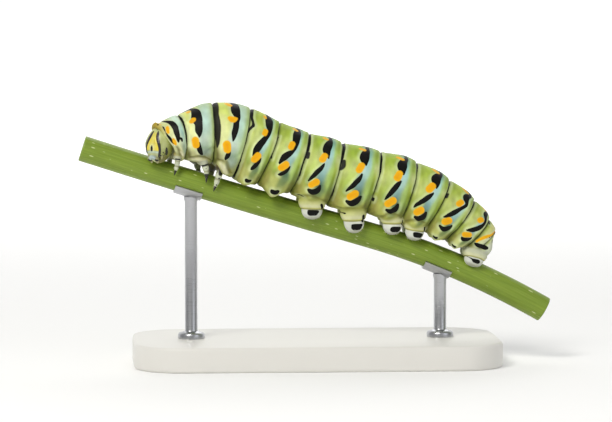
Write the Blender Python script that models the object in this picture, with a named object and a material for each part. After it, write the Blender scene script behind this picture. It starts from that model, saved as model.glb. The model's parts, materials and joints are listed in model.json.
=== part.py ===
"""A full-grown black swallowtail larva at life size, gripping a cut length of green stem.

The body is a row of thirteen soft rings, parted at the folds between them, behind a hard head capsule.
It walks on six jointed legs and ten soft prolegs.  Two rods hold the stem over a flat base.
Units are metres, +Z is up.  The origin is the middle of the base's underside.
The head points along -X and the larva's left flank faces -Y.
"""

import math
from collections import namedtuple

import bmesh
import bpy
import numpy as np
from mathutils import Matrix, Vector

MM = 0.001
GAP = 0.3 * MM  # clearance kept between pieces that touch

# The stem: straight where the larva's body lies, then bending down past its middle.
STEM_RADIUS = 1.53 * MM
STEM_BEND_X = 6.66 * MM
STEM_BEND_Z = 15.36 * MM
STEM_FALL = 0.296  # drop for each unit of run, where the stem is straight
STEM_BEND = 6.54  # added drop for each square metre of run past the bend
STEM_HALF_SPAN = 28.4 * MM
STEM_SIDES = 20
STEM_RINGS = 26

# The stand.
BASE_LENGTH, BASE_WIDTH, BASE_HEIGHT = 44 * MM, 22 * MM, 3 * MM
BASE_CORNER = 6 * MM
BASE_EDGE = 0.4 * MM
ROD_RADIUS = 0.9 * MM
ROD_SIDES = 20
ROD_FRONT_X, ROD_REAR_X = -15 * MM, 15 * MM

# One row for the fold in front of each body ring, head end first: the middle of the section there,
# half its height and width, and how far it leans back (pitch) and turns towards the left flank (yaw).
Fold = namedtuple("Fold", "x y z half_height half_width pitch yaw")
FOLDS = np.array(
    [
        Fold(-18.00, -1.05, 26.50, 2.40, 2.34, -34, 22),
        Fold(-16.00, -0.62, 27.00, 2.72, 2.86, -11, 10),
        Fold(-12.42, -0.12, 27.52, 3.62, 3.42, 1, 2),
        Fold(-8.82, 0.00, 26.40, 4.16, 3.70, 14, 3),
        Fold(-5.40, 0.00, 25.13, 3.84, 3.66, 17, 1),
        Fold(-1.83, 0.00, 23.97, 3.66, 3.60, 17, 1),
        Fold(2.37, 0.00, 22.66, 3.74, 3.60, 13, 1),
        Fold(7.09, 0.00, 21.72, 3.62, 3.58, 11, 1),
        Fold(11.33, 0.00, 20.30, 3.66, 3.46, 13, 0),
        Fold(14.75, 0.00, 18.75, 3.24, 3.18, 25, 0),
        Fold(17.49, 0.00, 16.86, 2.84, 2.80, 35, 0),
        Fold(19.38, 0.00, 15.27, 2.34, 2.36, 42, 0),
        Fold(20.25, 0.00, 14.45, 1.96, 2.04, 48, 0),
        Fold(21.10, 0.00, 13.55, 1.60, 1.70, 52, 0),
    ]
)
RING_NAMES = [f"thorax_{n}" for n in (1, 2, 3)] + [f"abdomen_{n:02d}" for n in range(1, 11)]
TAIL_RING = len(RING_NAMES) - 1
TAIL_LENGTH = 1.20 * MM  # the rounded last ring, past its fold
TAIL_ROUNDNESS = 2.3

# Shape of a section and of the skin between two folds.
WIDEST_DROP = 0.12  # the widest level lies this share of the half height below the middle
BACK_POWER, BELLY_POWER = 2.0, 2.5  # superellipse powers: a round back over a flatter belly
CREST_HEIGHT = 0.34 * MM  # swelling of the back behind the middle of a ring
CREST_SKEW = 1.6
BELLY_SWELL = 0.16 * MM
GROOVE_DEPTH, GROOVE_REACH = 0.26 * MM, 0.24 * MM
FOLD_BOW = 0.14 * MM  # the folds bow towards the tail on the flanks
LOBE_ANGLE, LOBE_SPREAD = math.radians(142), math.radians(20)
# Height of the swelling low on each flank: over the legs, and where rings have no prolegs.
LOBE_HEIGHTS = np.array([0.05, 0.30, 0.45, 0.62, 0.66, 0.35, 0.35, 0.35, 0.35, 0.55, 0.45, 0.10, 0.10]) * MM
LOBE_MIDDLE, LOBE_REACH = 0.48, 0.22
RING_SIDES = 28
RING_STEPS = (0.0, 0.07, 0.20, 0.38, 0.56, 0.72, 0.86, 0.95, 1.0)
TAIL_STEPS = (0.0, 0.25, 0.5, 0.7, 0.84, 0.93, 0.98)

# The head capsule, in its own frame: forwards, to its left, and up.
HEAD_CENTRE = Vector((-18.80, -1.70, 26.18)) * MM
HEAD_YAW, HEAD_PITCH = math.radians(53), math.radians(-15)
HEAD_DEPTH, HEAD_WIDTH, HEAD_HEIGHT = 1.50 * MM, 1.72 * MM, 2.00 * MM  # half sizes
HEAD_POWER = 2.25
HEAD_NOTCH_DEPTH, HEAD_NOTCH_WIDTH = 0.12, 0.30 * MM
HEAD_JAW_TAPER, HEAD_CROWN_TAPER = 0.20, 0.18
HEAD_AROUND, HEAD_ROWS = 30, 16
HEAD_FLANGE = 0.9 * MM  # how far the flat cut behind the head reaches past the first ring
LABRUM_PLACE, LABRUM_HALF = Vector((1.02, 0, -1.62)) * MM, Vector((0.30, 0.56, 0.32)) * MM
JAW_PLACE, JAW_HALF = Vector((0.66, 0.52, -1.66)) * MM, Vector((0.36, 0.34, 0.40)) * MM
EYE_RADIUS = 0.13 * MM
EYE_ARC_AZIMUTH, EYE_ARC_ELEVATION = 68, -33  # middle of the arc of small eyes, in degrees
EYE_ARC_RADIUS = 14
EYE_TURNS = (-150, -105, -60, -15, 30, 110)
FEELER_AZIMUTH, FEELER_ELEVATION = math.radians(46), math.radians(-52)
FEELER_LENGTH, FEELER_ROOT, FEELER_TIP = 0.75 * MM, 0.27 * MM, 0.12 * MM

# Legs: places along each left leg from inside the body to the claw, and the radius there.
LEG_RADII = np.array([0.62, 0.60, 0.50, 0.54, 0.42, 0.44, 0.32, 0.30, 0.07]) * MM
LEG_SHARES = np.array([0.0, 0.22, 0.34, 0.46, 0.56, 0.66, 0.74, 0.86, 1.0])
LEG_SIDES = 10
Leg = namedtuple("Leg", "root knee tip scale")
LEGS = {
    "leg_1": Leg((-16.75, -1.80, 25.30), (-16.80, -2.25, 24.00), (-17.25, -1.98, 22.75), 0.80),
    "leg_2": Leg((-13.75, -1.70, 24.90), (-13.35, -2.35, 23.30), (-13.45, -1.95, 21.80), 0.92),
    "leg_3": Leg((-11.55, -1.75, 24.30), (-12.05, -2.45, 22.40), (-12.50, -1.98, 20.75), 1.0),
}

# Prolegs: share of the way down, half length along the stem, and half thickness.
PROLEG_RINGS = (
    (0.00, 1.42, 1.10),
    (0.30, 1.46, 1.10),
    (0.50, 1.34, 1.00),
    (0.62, 1.14, 0.86),
    (0.67, 1.04, 0.76),
    (0.73, 1.12, 0.84),
    (0.84, 1.08, 0.82),
    (0.94, 0.82, 0.62),
    (1.00, 0.40, 0.30),
)
PROLEG_SIDES = 20
Proleg = namedtuple("Proleg", "root sole scale")
PROLEGS = {
    "proleg_3": Proleg((-0.75, -1.70, 20.90), (-0.85, -2.30, 17.25), 0.92),
    "proleg_4": Proleg((4.05, -1.70, 20.00), (4.30, -2.36, 15.62), 1.0),
    "proleg_5": Proleg((8.95, -1.70, 19.40), (8.98, -2.16, 15.40), 0.92),
    "proleg_6": Proleg((11.95, -1.65, 18.30), (11.50, -2.02, 14.72), 0.84),
    "proleg_anal": Proleg((19.30, -1.05, 14.30), (18.45, -1.72, 11.55), 0.88),
}

Finish = namedtuple("Finish", "colour roughness metallic")
FINISHES = {
    "larva_skin": Finish((0.50, 0.62, 0.22, 1), 0.45, 0),
    "head_shell": Finish((0.62, 0.66, 0.28, 1), 0.35, 0),
    "leg_shell": Finish((0.72, 0.74, 0.62, 1), 0.40, 0),
    "proleg_skin": Finish((0.78, 0.78, 0.52, 1), 0.45, 0),
    "stem_skin": Finish((0.22, 0.34, 0.05, 1), 0.50, 0),
    "stand_lacquer": Finish((0.80, 0.79, 0.76, 1), 0.55, 0),
    "stand_steel": Finish((0.62, 0.62, 0.63, 1), 0.30, 1),
}


def clear_scene():
    for old in list(bpy.data.objects):
        bpy.data.objects.remove(old)


def finish_of(name):
    """The Principled material of this name, made once."""
    material = bpy.data.materials.get(name)
    if material is None:
        finish = FINISHES[name]
        material = bpy.data.materials.new(name)
        material.use_nodes = True
        shader = material.node_tree.nodes["Principled BSDF"]
        shader.inputs["Base Color"].default_value = finish.colour
        shader.inputs["Roughness"].default_value = finish.roughness
        shader.inputs["Metallic"].default_value = finish.metallic
    return material


def object_from(name, mesh_parts, finish, origin=(0, 0, 0)):
    """A smooth-shaded object in the scene, from a filled bmesh.  Its own origin is put where given."""
    if mesh_parts.calc_volume(signed=True) < 0:
        bmesh.ops.reverse_faces(mesh_parts, faces=mesh_parts.faces)
    bmesh.ops.translate(mesh_parts, vec=-Vector(origin), verts=mesh_parts.verts)
    mesh = bpy.data.meshes.new(name)
    mesh_parts.to_mesh(mesh)
    mesh_parts.free()
    mesh.shade_smooth()
    mesh.set_sharp_from_angle(angle=math.radians(50))
    made = bpy.data.objects.new(name, mesh)
    made.data.materials.append(finish_of(finish))
    made.location = origin
    bpy.context.scene.collection.objects.link(made)
    bpy.context.view_layer.update()
    return made


def ellipse(centre, first_radius, second_radius, sides):
    """Points round a centre: the two radii are vectors square to each other."""
    turns = np.arange(sides) * 2 * math.pi / sides
    return (
        np.array(centre)
        + np.outer(np.cos(turns), np.array(first_radius))
        + np.outer(np.sin(turns), np.array(second_radius))
    )


def lofted(rings):
    """A closed bmesh through rings of points, each end closed by a fan to its middle."""
    made = bmesh.new()
    loops = [[made.verts.new(point) for point in ring] for ring in rings]
    for near, far in zip(loops, loops[1:]):
        for k in range(len(near)):
            after = (k + 1) % len(near)
            made.faces.new((near[k], near[after], far[after], far[k]))
    for loop, ring in ((loops[0][::-1], rings[0]), (loops[-1], rings[-1])):
        middle = made.verts.new(np.mean(ring, axis=0))
        for k in range(len(loop)):
            made.faces.new((loop[k], loop[(k + 1) % len(loop)], middle))
    return made


def applied(target, modifier_name):
    with bpy.context.temp_override(object=target, active_object=target):
        bpy.ops.object.modifier_apply(modifier=modifier_name)


def keep_largest_surface(target):
    """Drops every connected surface of the mesh but the one with the most faces."""
    mesh = bmesh.new()
    mesh.from_mesh(target.data)
    unseen = set(mesh.faces)
    surfaces = []
    while unseen:
        surface, edge = set(), [unseen.pop()]
        while edge:
            face = edge.pop()
            surface.add(face)
            for neighbour in {f for e in face.edges for f in e.link_faces} & unseen:
                unseen.discard(neighbour)
                edge.append(neighbour)
        surfaces.append(surface)
    surfaces.sort(key=len)
    loose = [face for surface in surfaces[:-1] for face in surface]
    bmesh.ops.delete(mesh, geom=loose, context="FACES")
    mesh.to_mesh(target.data)
    mesh.free()


def cut_clear(target, clearances):
    """Takes the shapes of the clearances, a collection of hidden cutters, out of the target."""
    modifier = target.modifiers.new("cut", "BOOLEAN")
    modifier.operation = "DIFFERENCE"
    modifier.solver = "EXACT"
    modifier.operand_type = "COLLECTION"
    modifier.collection = clearances
    applied(target, "cut")
    keep_largest_surface(target)


def fused(target, pieces):
    """Joins closed pieces to the target in one union, and removes them."""
    group = bpy.data.collections.new("joined")
    bpy.context.scene.collection.children.link(group)
    for piece in pieces:
        bpy.context.scene.collection.objects.unlink(piece)
        group.objects.link(piece)
    modifier = target.modifiers.new("join", "BOOLEAN")
    modifier.operation = "UNION"
    modifier.solver = "EXACT"
    modifier.operand_type = "COLLECTION"
    modifier.collection = group
    applied(target, "join")
    for piece in pieces:
        bpy.data.objects.remove(piece)
    bpy.data.collections.remove(group)
    keep_largest_surface(target)


def add_cutter(clearances, cutter):
    """Moves a hidden cutter to the collection of clearances."""
    cutter.hide_render = True
    cutter.display_type = "WIRE"
    bpy.context.scene.collection.objects.unlink(cutter)
    clearances.objects.link(cutter)


def stem_height(x):
    """Height of the stem's centreline: a straight fall, and a parabola past the bend."""
    run = x - STEM_BEND_X
    return STEM_BEND_Z - STEM_FALL * run - STEM_BEND * max(run, 0) ** 2


def stem_tangent(x):
    slope = -STEM_FALL - 2 * STEM_BEND * max(x - STEM_BEND_X, 0)
    return Vector((1, 0, slope)).normalized()


def stem_rings(radius, overhang):
    """Round sections square to the stem, from cut end to cut end, whose rims reach the half span."""
    lean_front = stem_tangent(-STEM_HALF_SPAN).z
    lean_rear = stem_tangent(STEM_HALF_SPAN).z
    start = -STEM_HALF_SPAN - radius * lean_front - overhang
    end = STEM_HALF_SPAN + radius * lean_rear + overhang
    rings = []
    for x in np.linspace(start, end, STEM_RINGS):
        tangent = stem_tangent(x)
        across = Vector((0, 1, 0))
        upright = tangent.cross(across)
        centre = (x, 0, stem_height(x))
        rings.append(ellipse(centre, radius * upright, radius * across, STEM_SIDES))
    return rings


def fold_at(station):
    """Section values at a station along the body, smoothly between the folds (Catmull-Rom)."""
    last = len(FOLDS) - 1
    i = min(int(math.floor(station)), last - 1)
    u = station - i
    before, here, there, after = (FOLDS[min(max(k, 0), last)] for k in (i - 1, i, i + 1, i + 2))
    leave, arrive = (there - before) / 2, (after - here) / 2
    hermite = (
        (2 * u**3 - 3 * u**2 + 1) * here
        + (u**3 - 2 * u**2 + u) * leave
        + (3 * u**2 - 2 * u**3) * there
        + (u**3 - u**2) * arrive
    )
    return Fold(*hermite)


def section_axes(fold):
    """Unit vectors of a section: towards the back, towards the left flank, and towards the tail."""
    turn = Matrix.Rotation(math.radians(fold.yaw), 3, "Z")
    lean = Matrix.Rotation(math.radians(fold.pitch), 3, "Y")
    axes = turn @ lean
    return (np.array(axes @ Vector(v)) for v in ((0, 0, 1), (0, -1, 0), (1, 0, 0)))


def groove(share, length):
    """How deep the skin dips near the folds, from 1 in a fold to 0 a little way off."""
    to_front, to_rear = share * length, (1 - share) * length
    return math.exp(-((to_front / GROOVE_REACH) ** 2)) + math.exp(-((to_rear / GROOVE_REACH) ** 2))


def body_ring(station, grow=0.0, shrink=1.0, shift=0.0):
    """Points round the body at a station, from the back over the left flank and round the belly.

    Grow widens the section, shrink scales it and shift slides it towards the tail.
    """
    ring = min(int(math.floor(station)), TAIL_RING)
    share = station - ring
    fold = fold_at(station)
    back, left, tailwards = section_axes(fold)
    length = np.linalg.norm((FOLDS[ring + 1] - FOLDS[ring])[[0, 1, 2]]) * MM
    turns = np.arange(RING_SIDES) * 2 * math.pi / RING_SIDES
    sine, cosine = np.sin(turns), np.cos(turns)
    power = np.where(cosine >= 0, BACK_POWER, BELLY_POWER)
    sideways = np.sign(sine) * np.abs(sine) ** (2 / power)
    upwards = np.sign(cosine) * np.abs(cosine) ** (2 / power)
    half_height = fold.half_height * MM
    reach_up = np.where(cosine >= 0, 1 + WIDEST_DROP, 1 - WIDEST_DROP) * half_height
    half_width = fold.half_width * MM
    on_back = np.clip(0.5 + 0.9 * cosine, 0, 1)
    crest = math.sin(math.pi * share**CREST_SKEW) if share < 1 else 0.0
    swell = math.sin(math.pi * min(share, 1))
    lobe = np.exp(-(((np.minimum(turns, 2 * math.pi - turns) - LOBE_ANGLE) / LOBE_SPREAD) ** 2))
    lobe *= math.exp(-(((share - LOBE_MIDDLE) / LOBE_REACH) ** 2)) * LOBE_HEIGHTS[ring]
    tapered = min(length / (3.0 * MM), 1.0)
    relief = on_back * crest * CREST_HEIGHT * tapered + (1 - on_back) * swell * BELLY_SWELL + lobe
    relief = relief - groove(share, length) * GROOVE_DEPTH * tapered + grow
    out_x, out_z = sideways * half_width, upwards * reach_up
    norm = np.hypot(out_x, out_z)
    out_x, out_z = out_x * (1 + relief / norm) * shrink, out_z * (1 + relief / norm) * shrink
    centre = np.array([fold.x, fold.y, fold.z]) * MM - back * WIDEST_DROP * half_height
    bow = FOLD_BOW * np.abs(sine) ** 2
    return (
        centre
        + np.outer(out_x, left)
        + np.outer(out_z, back)
        + np.outer(bow + shift, tailwards)
    )


def tail_rings(start_shift, grow=0.0):
    """The last ring of the body: a rounded cap that closes past its fold."""
    for step in TAIL_STEPS:
        shrink = (1 - step**TAIL_ROUNDNESS) ** (1 / TAIL_ROUNDNESS)
        yield body_ring(TAIL_RING, grow, shrink, start_shift + step * (TAIL_LENGTH - start_shift) + grow * step)


def fold_length(ring):
    return float(np.linalg.norm((FOLDS[ring + 1] - FOLDS[ring])[[0, 1, 2]])) * MM


def body_part(ring):
    """One ring of the body, a closed solid half a gap short of each fold."""
    if ring == TAIL_RING:
        rings = list(tail_rings(GAP / 2))
    else:
        margin = GAP / 2 / fold_length(ring)
        first = 0.0 if ring == 0 else margin
        rings = [body_ring(ring + first + step * (1 - margin - first)) for step in RING_STEPS]
    return object_from(RING_NAMES[ring], lofted(rings), "larva_skin", FOLDS[ring][:3] * MM)


def body_core():
    """The whole body grown by one gap, which cuts the head and the roots of the legs to its shape."""
    rings = [body_ring(0, HEAD_FLANGE, shift=-GAP)]
    for ring in range(TAIL_RING):
        rings += [body_ring(ring + step, GAP) for step in RING_STEPS[:-1]]
    rings += list(tail_rings(0.0, GAP))
    return object_from("body_core", lofted(rings), "larva_skin")


def head_axes():
    """The head's rotation: its columns point forwards, to its left and up."""
    forwards = Vector((-1, 0, 0))
    left = Vector((0, -1, 0))
    upright = Matrix((forwards, left, (0, 0, 1))).transposed()
    pitched = Matrix.Rotation(-HEAD_PITCH, 3, "Y") @ upright
    return Matrix.Rotation(HEAD_YAW, 3, "Z") @ pitched


def head_point(azimuth, elevation, grow=0.0):
    """A point of the head capsule, in its own frame: a superellipsoid, narrower at the mouth
    and the crown, with a notch along the middle of its crown."""
    way = Vector(
        (
            math.cos(elevation) * math.cos(azimuth),
            math.cos(elevation) * math.sin(azimuth),
            math.sin(elevation),
        )
    )
    low, high = max(-way.z, 0), max(way.z, 0)
    width = HEAD_WIDTH * (1 - HEAD_JAW_TAPER * low - HEAD_CROWN_TAPER * high)
    total = sum(abs(v / h) ** HEAD_POWER for v, h in zip(way, (HEAD_DEPTH, width, HEAD_HEIGHT)))
    radius = total ** (-1 / HEAD_POWER)
    point = way * radius
    crown = min(max((point.z / HEAD_HEIGHT - 0.1) / 0.9, 0), 1)
    notch = HEAD_NOTCH_DEPTH * crown * math.exp(-((point.y / HEAD_NOTCH_WIDTH) ** 2))
    return point * (1 - notch) + way * grow


def ellipsoid(name, middle, half, finish, segments=14, rows=9):
    made = bmesh.new()
    bmesh.ops.create_uvsphere(made, u_segments=segments, v_segments=rows, radius=1)
    bmesh.ops.transform(made, matrix=Matrix.Diagonal((*half, 1)), verts=made.verts)
    bmesh.ops.translate(made, vec=middle, verts=made.verts)
    return object_from(name, made, finish)


def eye_places():
    """Azimuth and elevation of the six small eyes on the left cheek."""
    for turn in EYE_TURNS:
        azimuth = EYE_ARC_AZIMUTH + EYE_ARC_RADIUS * math.cos(math.radians(turn))
        elevation = EYE_ARC_ELEVATION + EYE_ARC_RADIUS * math.sin(math.radians(turn))
        yield math.radians(azimuth), math.radians(elevation)


def head(clearances):
    """The head capsule with its lip, jaws and small eyes, cut off flat where it meets the first ring."""
    rows = np.linspace(-math.pi / 2, math.pi / 2, HEAD_ROWS + 1)[1:-1]
    columns = np.arange(HEAD_AROUND) * 2 * math.pi / HEAD_AROUND
    rings = [[head_point(a, e) for a in columns] for e in rows]
    capsule = object_from("head", lofted(rings), "head_shell")
    pieces = [ellipsoid("lip", LABRUM_PLACE, LABRUM_HALF, "head_shell")]
    for side in (1, -1):
        place = Vector((JAW_PLACE.x, side * JAW_PLACE.y, JAW_PLACE.z))
        pieces.append(ellipsoid("jaw", place, JAW_HALF, "head_shell"))
        for azimuth, elevation in eye_places():
            place = head_point(side * azimuth, elevation)
            pieces.append(ellipsoid("eye", place, [EYE_RADIUS] * 3, "head_shell", 8, 6))
    fused(capsule, pieces)
    capsule.data.transform(head_axes().to_4x4())
    capsule.location = HEAD_CENTRE
    bpy.context.view_layer.update()
    cut_clear(capsule, clearances)


def feeler(side_name, side):
    """A short feeler beside the jaw, its root one gap off the capsule."""
    azimuth = side * FEELER_AZIMUTH
    way = head_point(azimuth, FEELER_ELEVATION).normalized()
    root = head_point(azimuth, FEELER_ELEVATION, GAP)
    made = bmesh.new()
    bmesh.ops.create_cone(
        made, cap_ends=True, segments=10, radius1=FEELER_ROOT, radius2=FEELER_TIP, depth=FEELER_LENGTH
    )
    bmesh.ops.translate(made, vec=(0, 0, FEELER_LENGTH / 2), verts=made.verts)
    turn = way.to_track_quat("Z", "Y").to_matrix().to_4x4()
    place = Matrix.Translation(HEAD_CENTRE) @ head_axes().to_4x4() @ Matrix.Translation(root) @ turn
    bmesh.ops.transform(made, matrix=place, verts=made.verts)
    return object_from(f"antenna_{side_name}", made, "head_shell", place.translation)


def leg(name, side_name, side, clearances):
    """A jointed leg along a bent path, swollen at its joints and drawn out to a claw."""
    shape = LEGS[name]
    flip = np.array([1, side, 1])
    root, knee, tip = (np.array(p) * flip * MM for p in (shape.root, shape.knee, shape.tip))
    rings = []
    for share, radius in zip(LEG_SHARES, LEG_RADII * shape.scale):
        centre = (1 - share) ** 2 * root + 2 * share * (1 - share) * knee + share**2 * tip
        along = Vector(2 * (1 - share) * (knee - root) + 2 * share * (tip - knee)).normalized()
        across = along.cross(Vector((1, 0, 0))).normalized()
        third = along.cross(across)
        rings.append(ellipse(centre, radius * across, radius * third, LEG_SIDES))
    made = object_from(f"{name}_{side_name}", lofted(rings), "leg_shell", root)
    cut_clear(made, clearances)


def proleg(name, side_name, side, clearances):
    """A soft stump with a fold above its rounded foot, whose inner side is shaped to the stem."""
    shape = PROLEGS[name]
    flip = np.array([1, side, 1])
    root, sole = (np.array(p) * flip * MM for p in (shape.root, shape.sole))
    down = Vector(sole - root).normalized()
    along = stem_tangent(sole[0])
    across = down.cross(along).normalized()
    along = across.cross(down)
    rings = []
    for share, half_length, half_thickness in PROLEG_RINGS:
        centre = root + share * (sole - root)
        size = shape.scale * MM
        rings.append(
            ellipse(centre, size * half_length * along, size * half_thickness * across, PROLEG_SIDES)
        )
    made = object_from(f"{name}_{side_name}", lofted(rings), "proleg_skin", root)
    cut_clear(made, clearances)


def stand_base():
    """A flat plate with round corners and eased edges."""
    made = bmesh.new()
    bmesh.ops.create_cube(made, size=1)
    bmesh.ops.scale(made, vec=(BASE_LENGTH, BASE_WIDTH, BASE_HEIGHT), verts=made.verts)
    bmesh.ops.translate(made, vec=(0, 0, BASE_HEIGHT / 2), verts=made.verts)
    upright = [e for e in made.edges if abs(e.verts[0].co.z - e.verts[1].co.z) > BASE_HEIGHT / 2]
    bmesh.ops.bevel(made, geom=upright, offset=BASE_CORNER, segments=8, profile=0.5, affect="EDGES")
    rims = [e for e in made.edges if abs(e.verts[0].co.z - e.verts[1].co.z) < BASE_HEIGHT / 2]
    bmesh.ops.bevel(made, geom=rims, offset=BASE_EDGE, segments=2, profile=0.5, affect="EDGES")
    return object_from("stand_base", made, "stand_lacquer")


def stand_rod(name, x, clearances):
    """An upright rod, its foot one gap over the base and its top shaped to the stem's underside."""
    foot = BASE_HEIGHT + GAP
    height = stem_height(x) - foot
    made = bmesh.new()
    bmesh.ops.create_cone(
        made, cap_ends=True, segments=ROD_SIDES, radius1=ROD_RADIUS, radius2=ROD_RADIUS, depth=height
    )
    bmesh.ops.translate(made, vec=(x, 0, foot + height / 2), verts=made.verts)
    rod = object_from(name, made, "stand_steel", (x, 0, foot))
    cut_clear(rod, clearances)


def main():
    clear_scene()
    clearances = bpy.data.collections.new("clearances")
    bpy.context.scene.collection.children.link(clearances)
    add_cutter(clearances, body_core())
    stem_core = lofted(stem_rings(STEM_RADIUS + GAP, GAP))
    add_cutter(clearances, object_from("stem_core", stem_core, "stem_skin"))
    for ring in range(len(RING_NAMES)):
        body_part(ring)
    head(clearances)
    for side_name, side in (("left", 1), ("right", -1)):
        feeler(side_name, side)
        for name in LEGS:
            leg(name, side_name, side, clearances)
        for name in PROLEGS:
            proleg(name, side_name, side, clearances)
    object_from("perch_stem", lofted(stem_rings(STEM_RADIUS, 0)), "stem_skin")
    stand_base()
    stand_rod("stand_rod_front", ROD_FRONT_X, clearances)
    stand_rod("stand_rod_rear", ROD_REAR_X, clearances)


main()
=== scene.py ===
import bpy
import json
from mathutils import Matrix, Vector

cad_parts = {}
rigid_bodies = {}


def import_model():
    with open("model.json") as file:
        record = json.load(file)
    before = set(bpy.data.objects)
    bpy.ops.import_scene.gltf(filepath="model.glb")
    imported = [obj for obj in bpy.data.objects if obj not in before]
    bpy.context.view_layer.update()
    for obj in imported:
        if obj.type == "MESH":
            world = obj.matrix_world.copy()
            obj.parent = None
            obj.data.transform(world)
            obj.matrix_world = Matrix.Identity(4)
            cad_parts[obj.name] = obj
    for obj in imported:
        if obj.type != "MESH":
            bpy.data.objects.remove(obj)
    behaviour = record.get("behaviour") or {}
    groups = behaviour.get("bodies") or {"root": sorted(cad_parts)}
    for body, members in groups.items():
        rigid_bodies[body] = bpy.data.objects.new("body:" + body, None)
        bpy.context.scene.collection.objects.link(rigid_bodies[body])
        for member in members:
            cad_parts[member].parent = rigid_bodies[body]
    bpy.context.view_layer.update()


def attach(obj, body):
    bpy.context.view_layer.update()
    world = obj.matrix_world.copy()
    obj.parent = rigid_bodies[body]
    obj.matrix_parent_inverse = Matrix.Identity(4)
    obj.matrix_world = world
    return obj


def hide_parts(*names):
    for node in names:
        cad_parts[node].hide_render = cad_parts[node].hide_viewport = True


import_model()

import json
from functools import partial

import bpy
import numpy as np

# The studio

# The larva stands on a sweep of white paper, bent up behind it into a wall.  The paper glows by its own
# emission, more the farther back it lies: painted light in place of lamps shining through it from behind.
# A soft box hangs above its left shoulder and weaker ones by its tail and behind it.  The camera
# is a long lens at the height of the stem, a little before the beam of the left flank.
MM = 0.001
VIEW_AZIMUTH, VIEW_ELEVATION = np.radians(-4), np.radians(4)
VIEW_TARGET = np.array([-1.2, 0, 18.24]) * MM
VIEW_DISTANCE, VIEW_WIDTH = 0.4, 73.44 * MM  # the width is what the picture covers at the target
SENSOR = 36  # mm
SWEEP_FRONT, SWEEP_BACK, SWEEP_BEND, SWEEP_TOP, SWEEP_HALF = -1.6, 0.75, 0.40, 1.3, 1.6  # metres
SHARP = np.radians(40)  # edges of hard goods that turn by more than this stay sharp


def linear(hex_colour):
    """An sRGB hex colour as linear red, green and blue: the sRGB curve undone on each."""
    srgb = np.array([int(hex_colour[k : k + 2], 16) / 255 for k in (1, 3, 5)])
    return np.where(srgb <= 0.04045, srgb / 12.92, ((srgb + 0.055) / 1.055) ** 2.4)


def paint(hex_colour):
    """The same for a colour socket, which also takes an alpha."""
    return (*linear(hex_colour), 1.0)


def feed(node, inputs):
    """Sets input sockets of a node: each to a value, or linked to the output socket that feeds it."""
    for socket, value in inputs.items():
        if isinstance(value, bpy.types.NodeSocket):
            node.id_data.links.new(value, node.inputs[socket])
        else:
            node.inputs[socket].default_value = value


def add_node(tree, kind, inputs=None, out=0, **settings):
    """Adds one node with its properties and inputs.  Returns the output socket asked for, the first if
    none is."""
    node = tree.nodes.new("ShaderNode" + kind)
    for name, value in settings.items():
        setattr(node, name, value)
    feed(node, inputs or {})
    return node.outputs[out]


def new_finish(name, inputs):
    """A material with one Principled shader, its constant numbers and colours set on the shader's own
    sockets.  Returns the material, the shader, and the function that adds nodes to its tree."""
    material = bpy.data.materials.new(name)
    material.use_nodes = True
    shader = material.node_tree.nodes["Principled BSDF"]
    feed(shader, inputs)
    return material, shader, partial(add_node, material.node_tree)


def piece(name, corners, faces, material, sharp=False):
    """A smooth object at the origin from corner points in metres and faces as corner numbers.  Its faces
    are turned outwards by the sign of the enclosed volume (the sum of each fan triangle's determinant)."""
    corners = np.asarray(corners, float).reshape(-1, 3)
    volume = sum(
        np.einsum("ij,ij->", corners[part[:, 0]], np.cross(corners[part[:, k]], corners[part[:, k + 1]]))
        for part in faces for k in range(1, part.shape[1] - 1)
    )
    order = slice(None, None, -1 if volume < 0 else 1)
    mesh = bpy.data.meshes.new(name)
    mesh.from_pydata(corners.tolist(), [], [face for part in faces for face in part[:, order].tolist()])
    mesh.materials.append(material)
    mesh.shade_smooth()
    if sharp:
        mesh.set_sharp_from_angle(angle=SHARP)
    return in_scene(name, mesh)


def in_scene(name, data):
    """An object of the scene that holds a mesh, a lamp or a camera."""
    made = bpy.data.objects.new(name, data)
    bpy.context.scene.collection.objects.link(made)
    return made


def facing(back):
    """The turn of a lamp or camera whose back points a given way."""
    return Vector(back).to_track_quat("Z", "Y").to_euler()


lens = bpy.data.cameras.new("camera")
lens.sensor_width, lens.lens, lens.clip_start = SENSOR, SENSOR * VIEW_DISTANCE / VIEW_WIDTH, 0.01
view_level = np.array([np.sin(VIEW_AZIMUTH), -np.cos(VIEW_AZIMUTH), 0])
view_back = view_level * np.cos(VIEW_ELEVATION) + [0, 0, np.sin(VIEW_ELEVATION)]
camera = in_scene("camera", lens)
camera.location, camera.rotation_euler = VIEW_TARGET + view_back * VIEW_DISTANCE, facing(view_back)
bpy.context.scene.camera = camera
bpy.context.scene.view_settings.view_transform = "Standard"

room = bpy.data.worlds.new("white room")
room.use_nodes = True
feed(room.node_tree.nodes["Background"], {"Color": paint("#ffffff"), "Strength": 0.34})
bpy.context.scene.world = room
for name, place, size, power, colour in (
    ("key_box", (-0.16, -0.26, 0.30), 0.16, 1.04, "#fffdf8"),
    ("fill_box", (0.30, -0.30, 0.20), 0.30, 0.22, "#f6faff"),
    ("back_box", (0.05, 0.32, 0.30), 0.25, 0.30, "#ffffff"),
):
    lamp = bpy.data.lights.new(name, "AREA")
    lamp.size, lamp.energy, lamp.color = size, power, linear(colour)
    box = in_scene(name, lamp)
    box.location, box.rotation_euler = place, facing(Vector(place) - Vector((0, 0, 0.02)))
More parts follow.
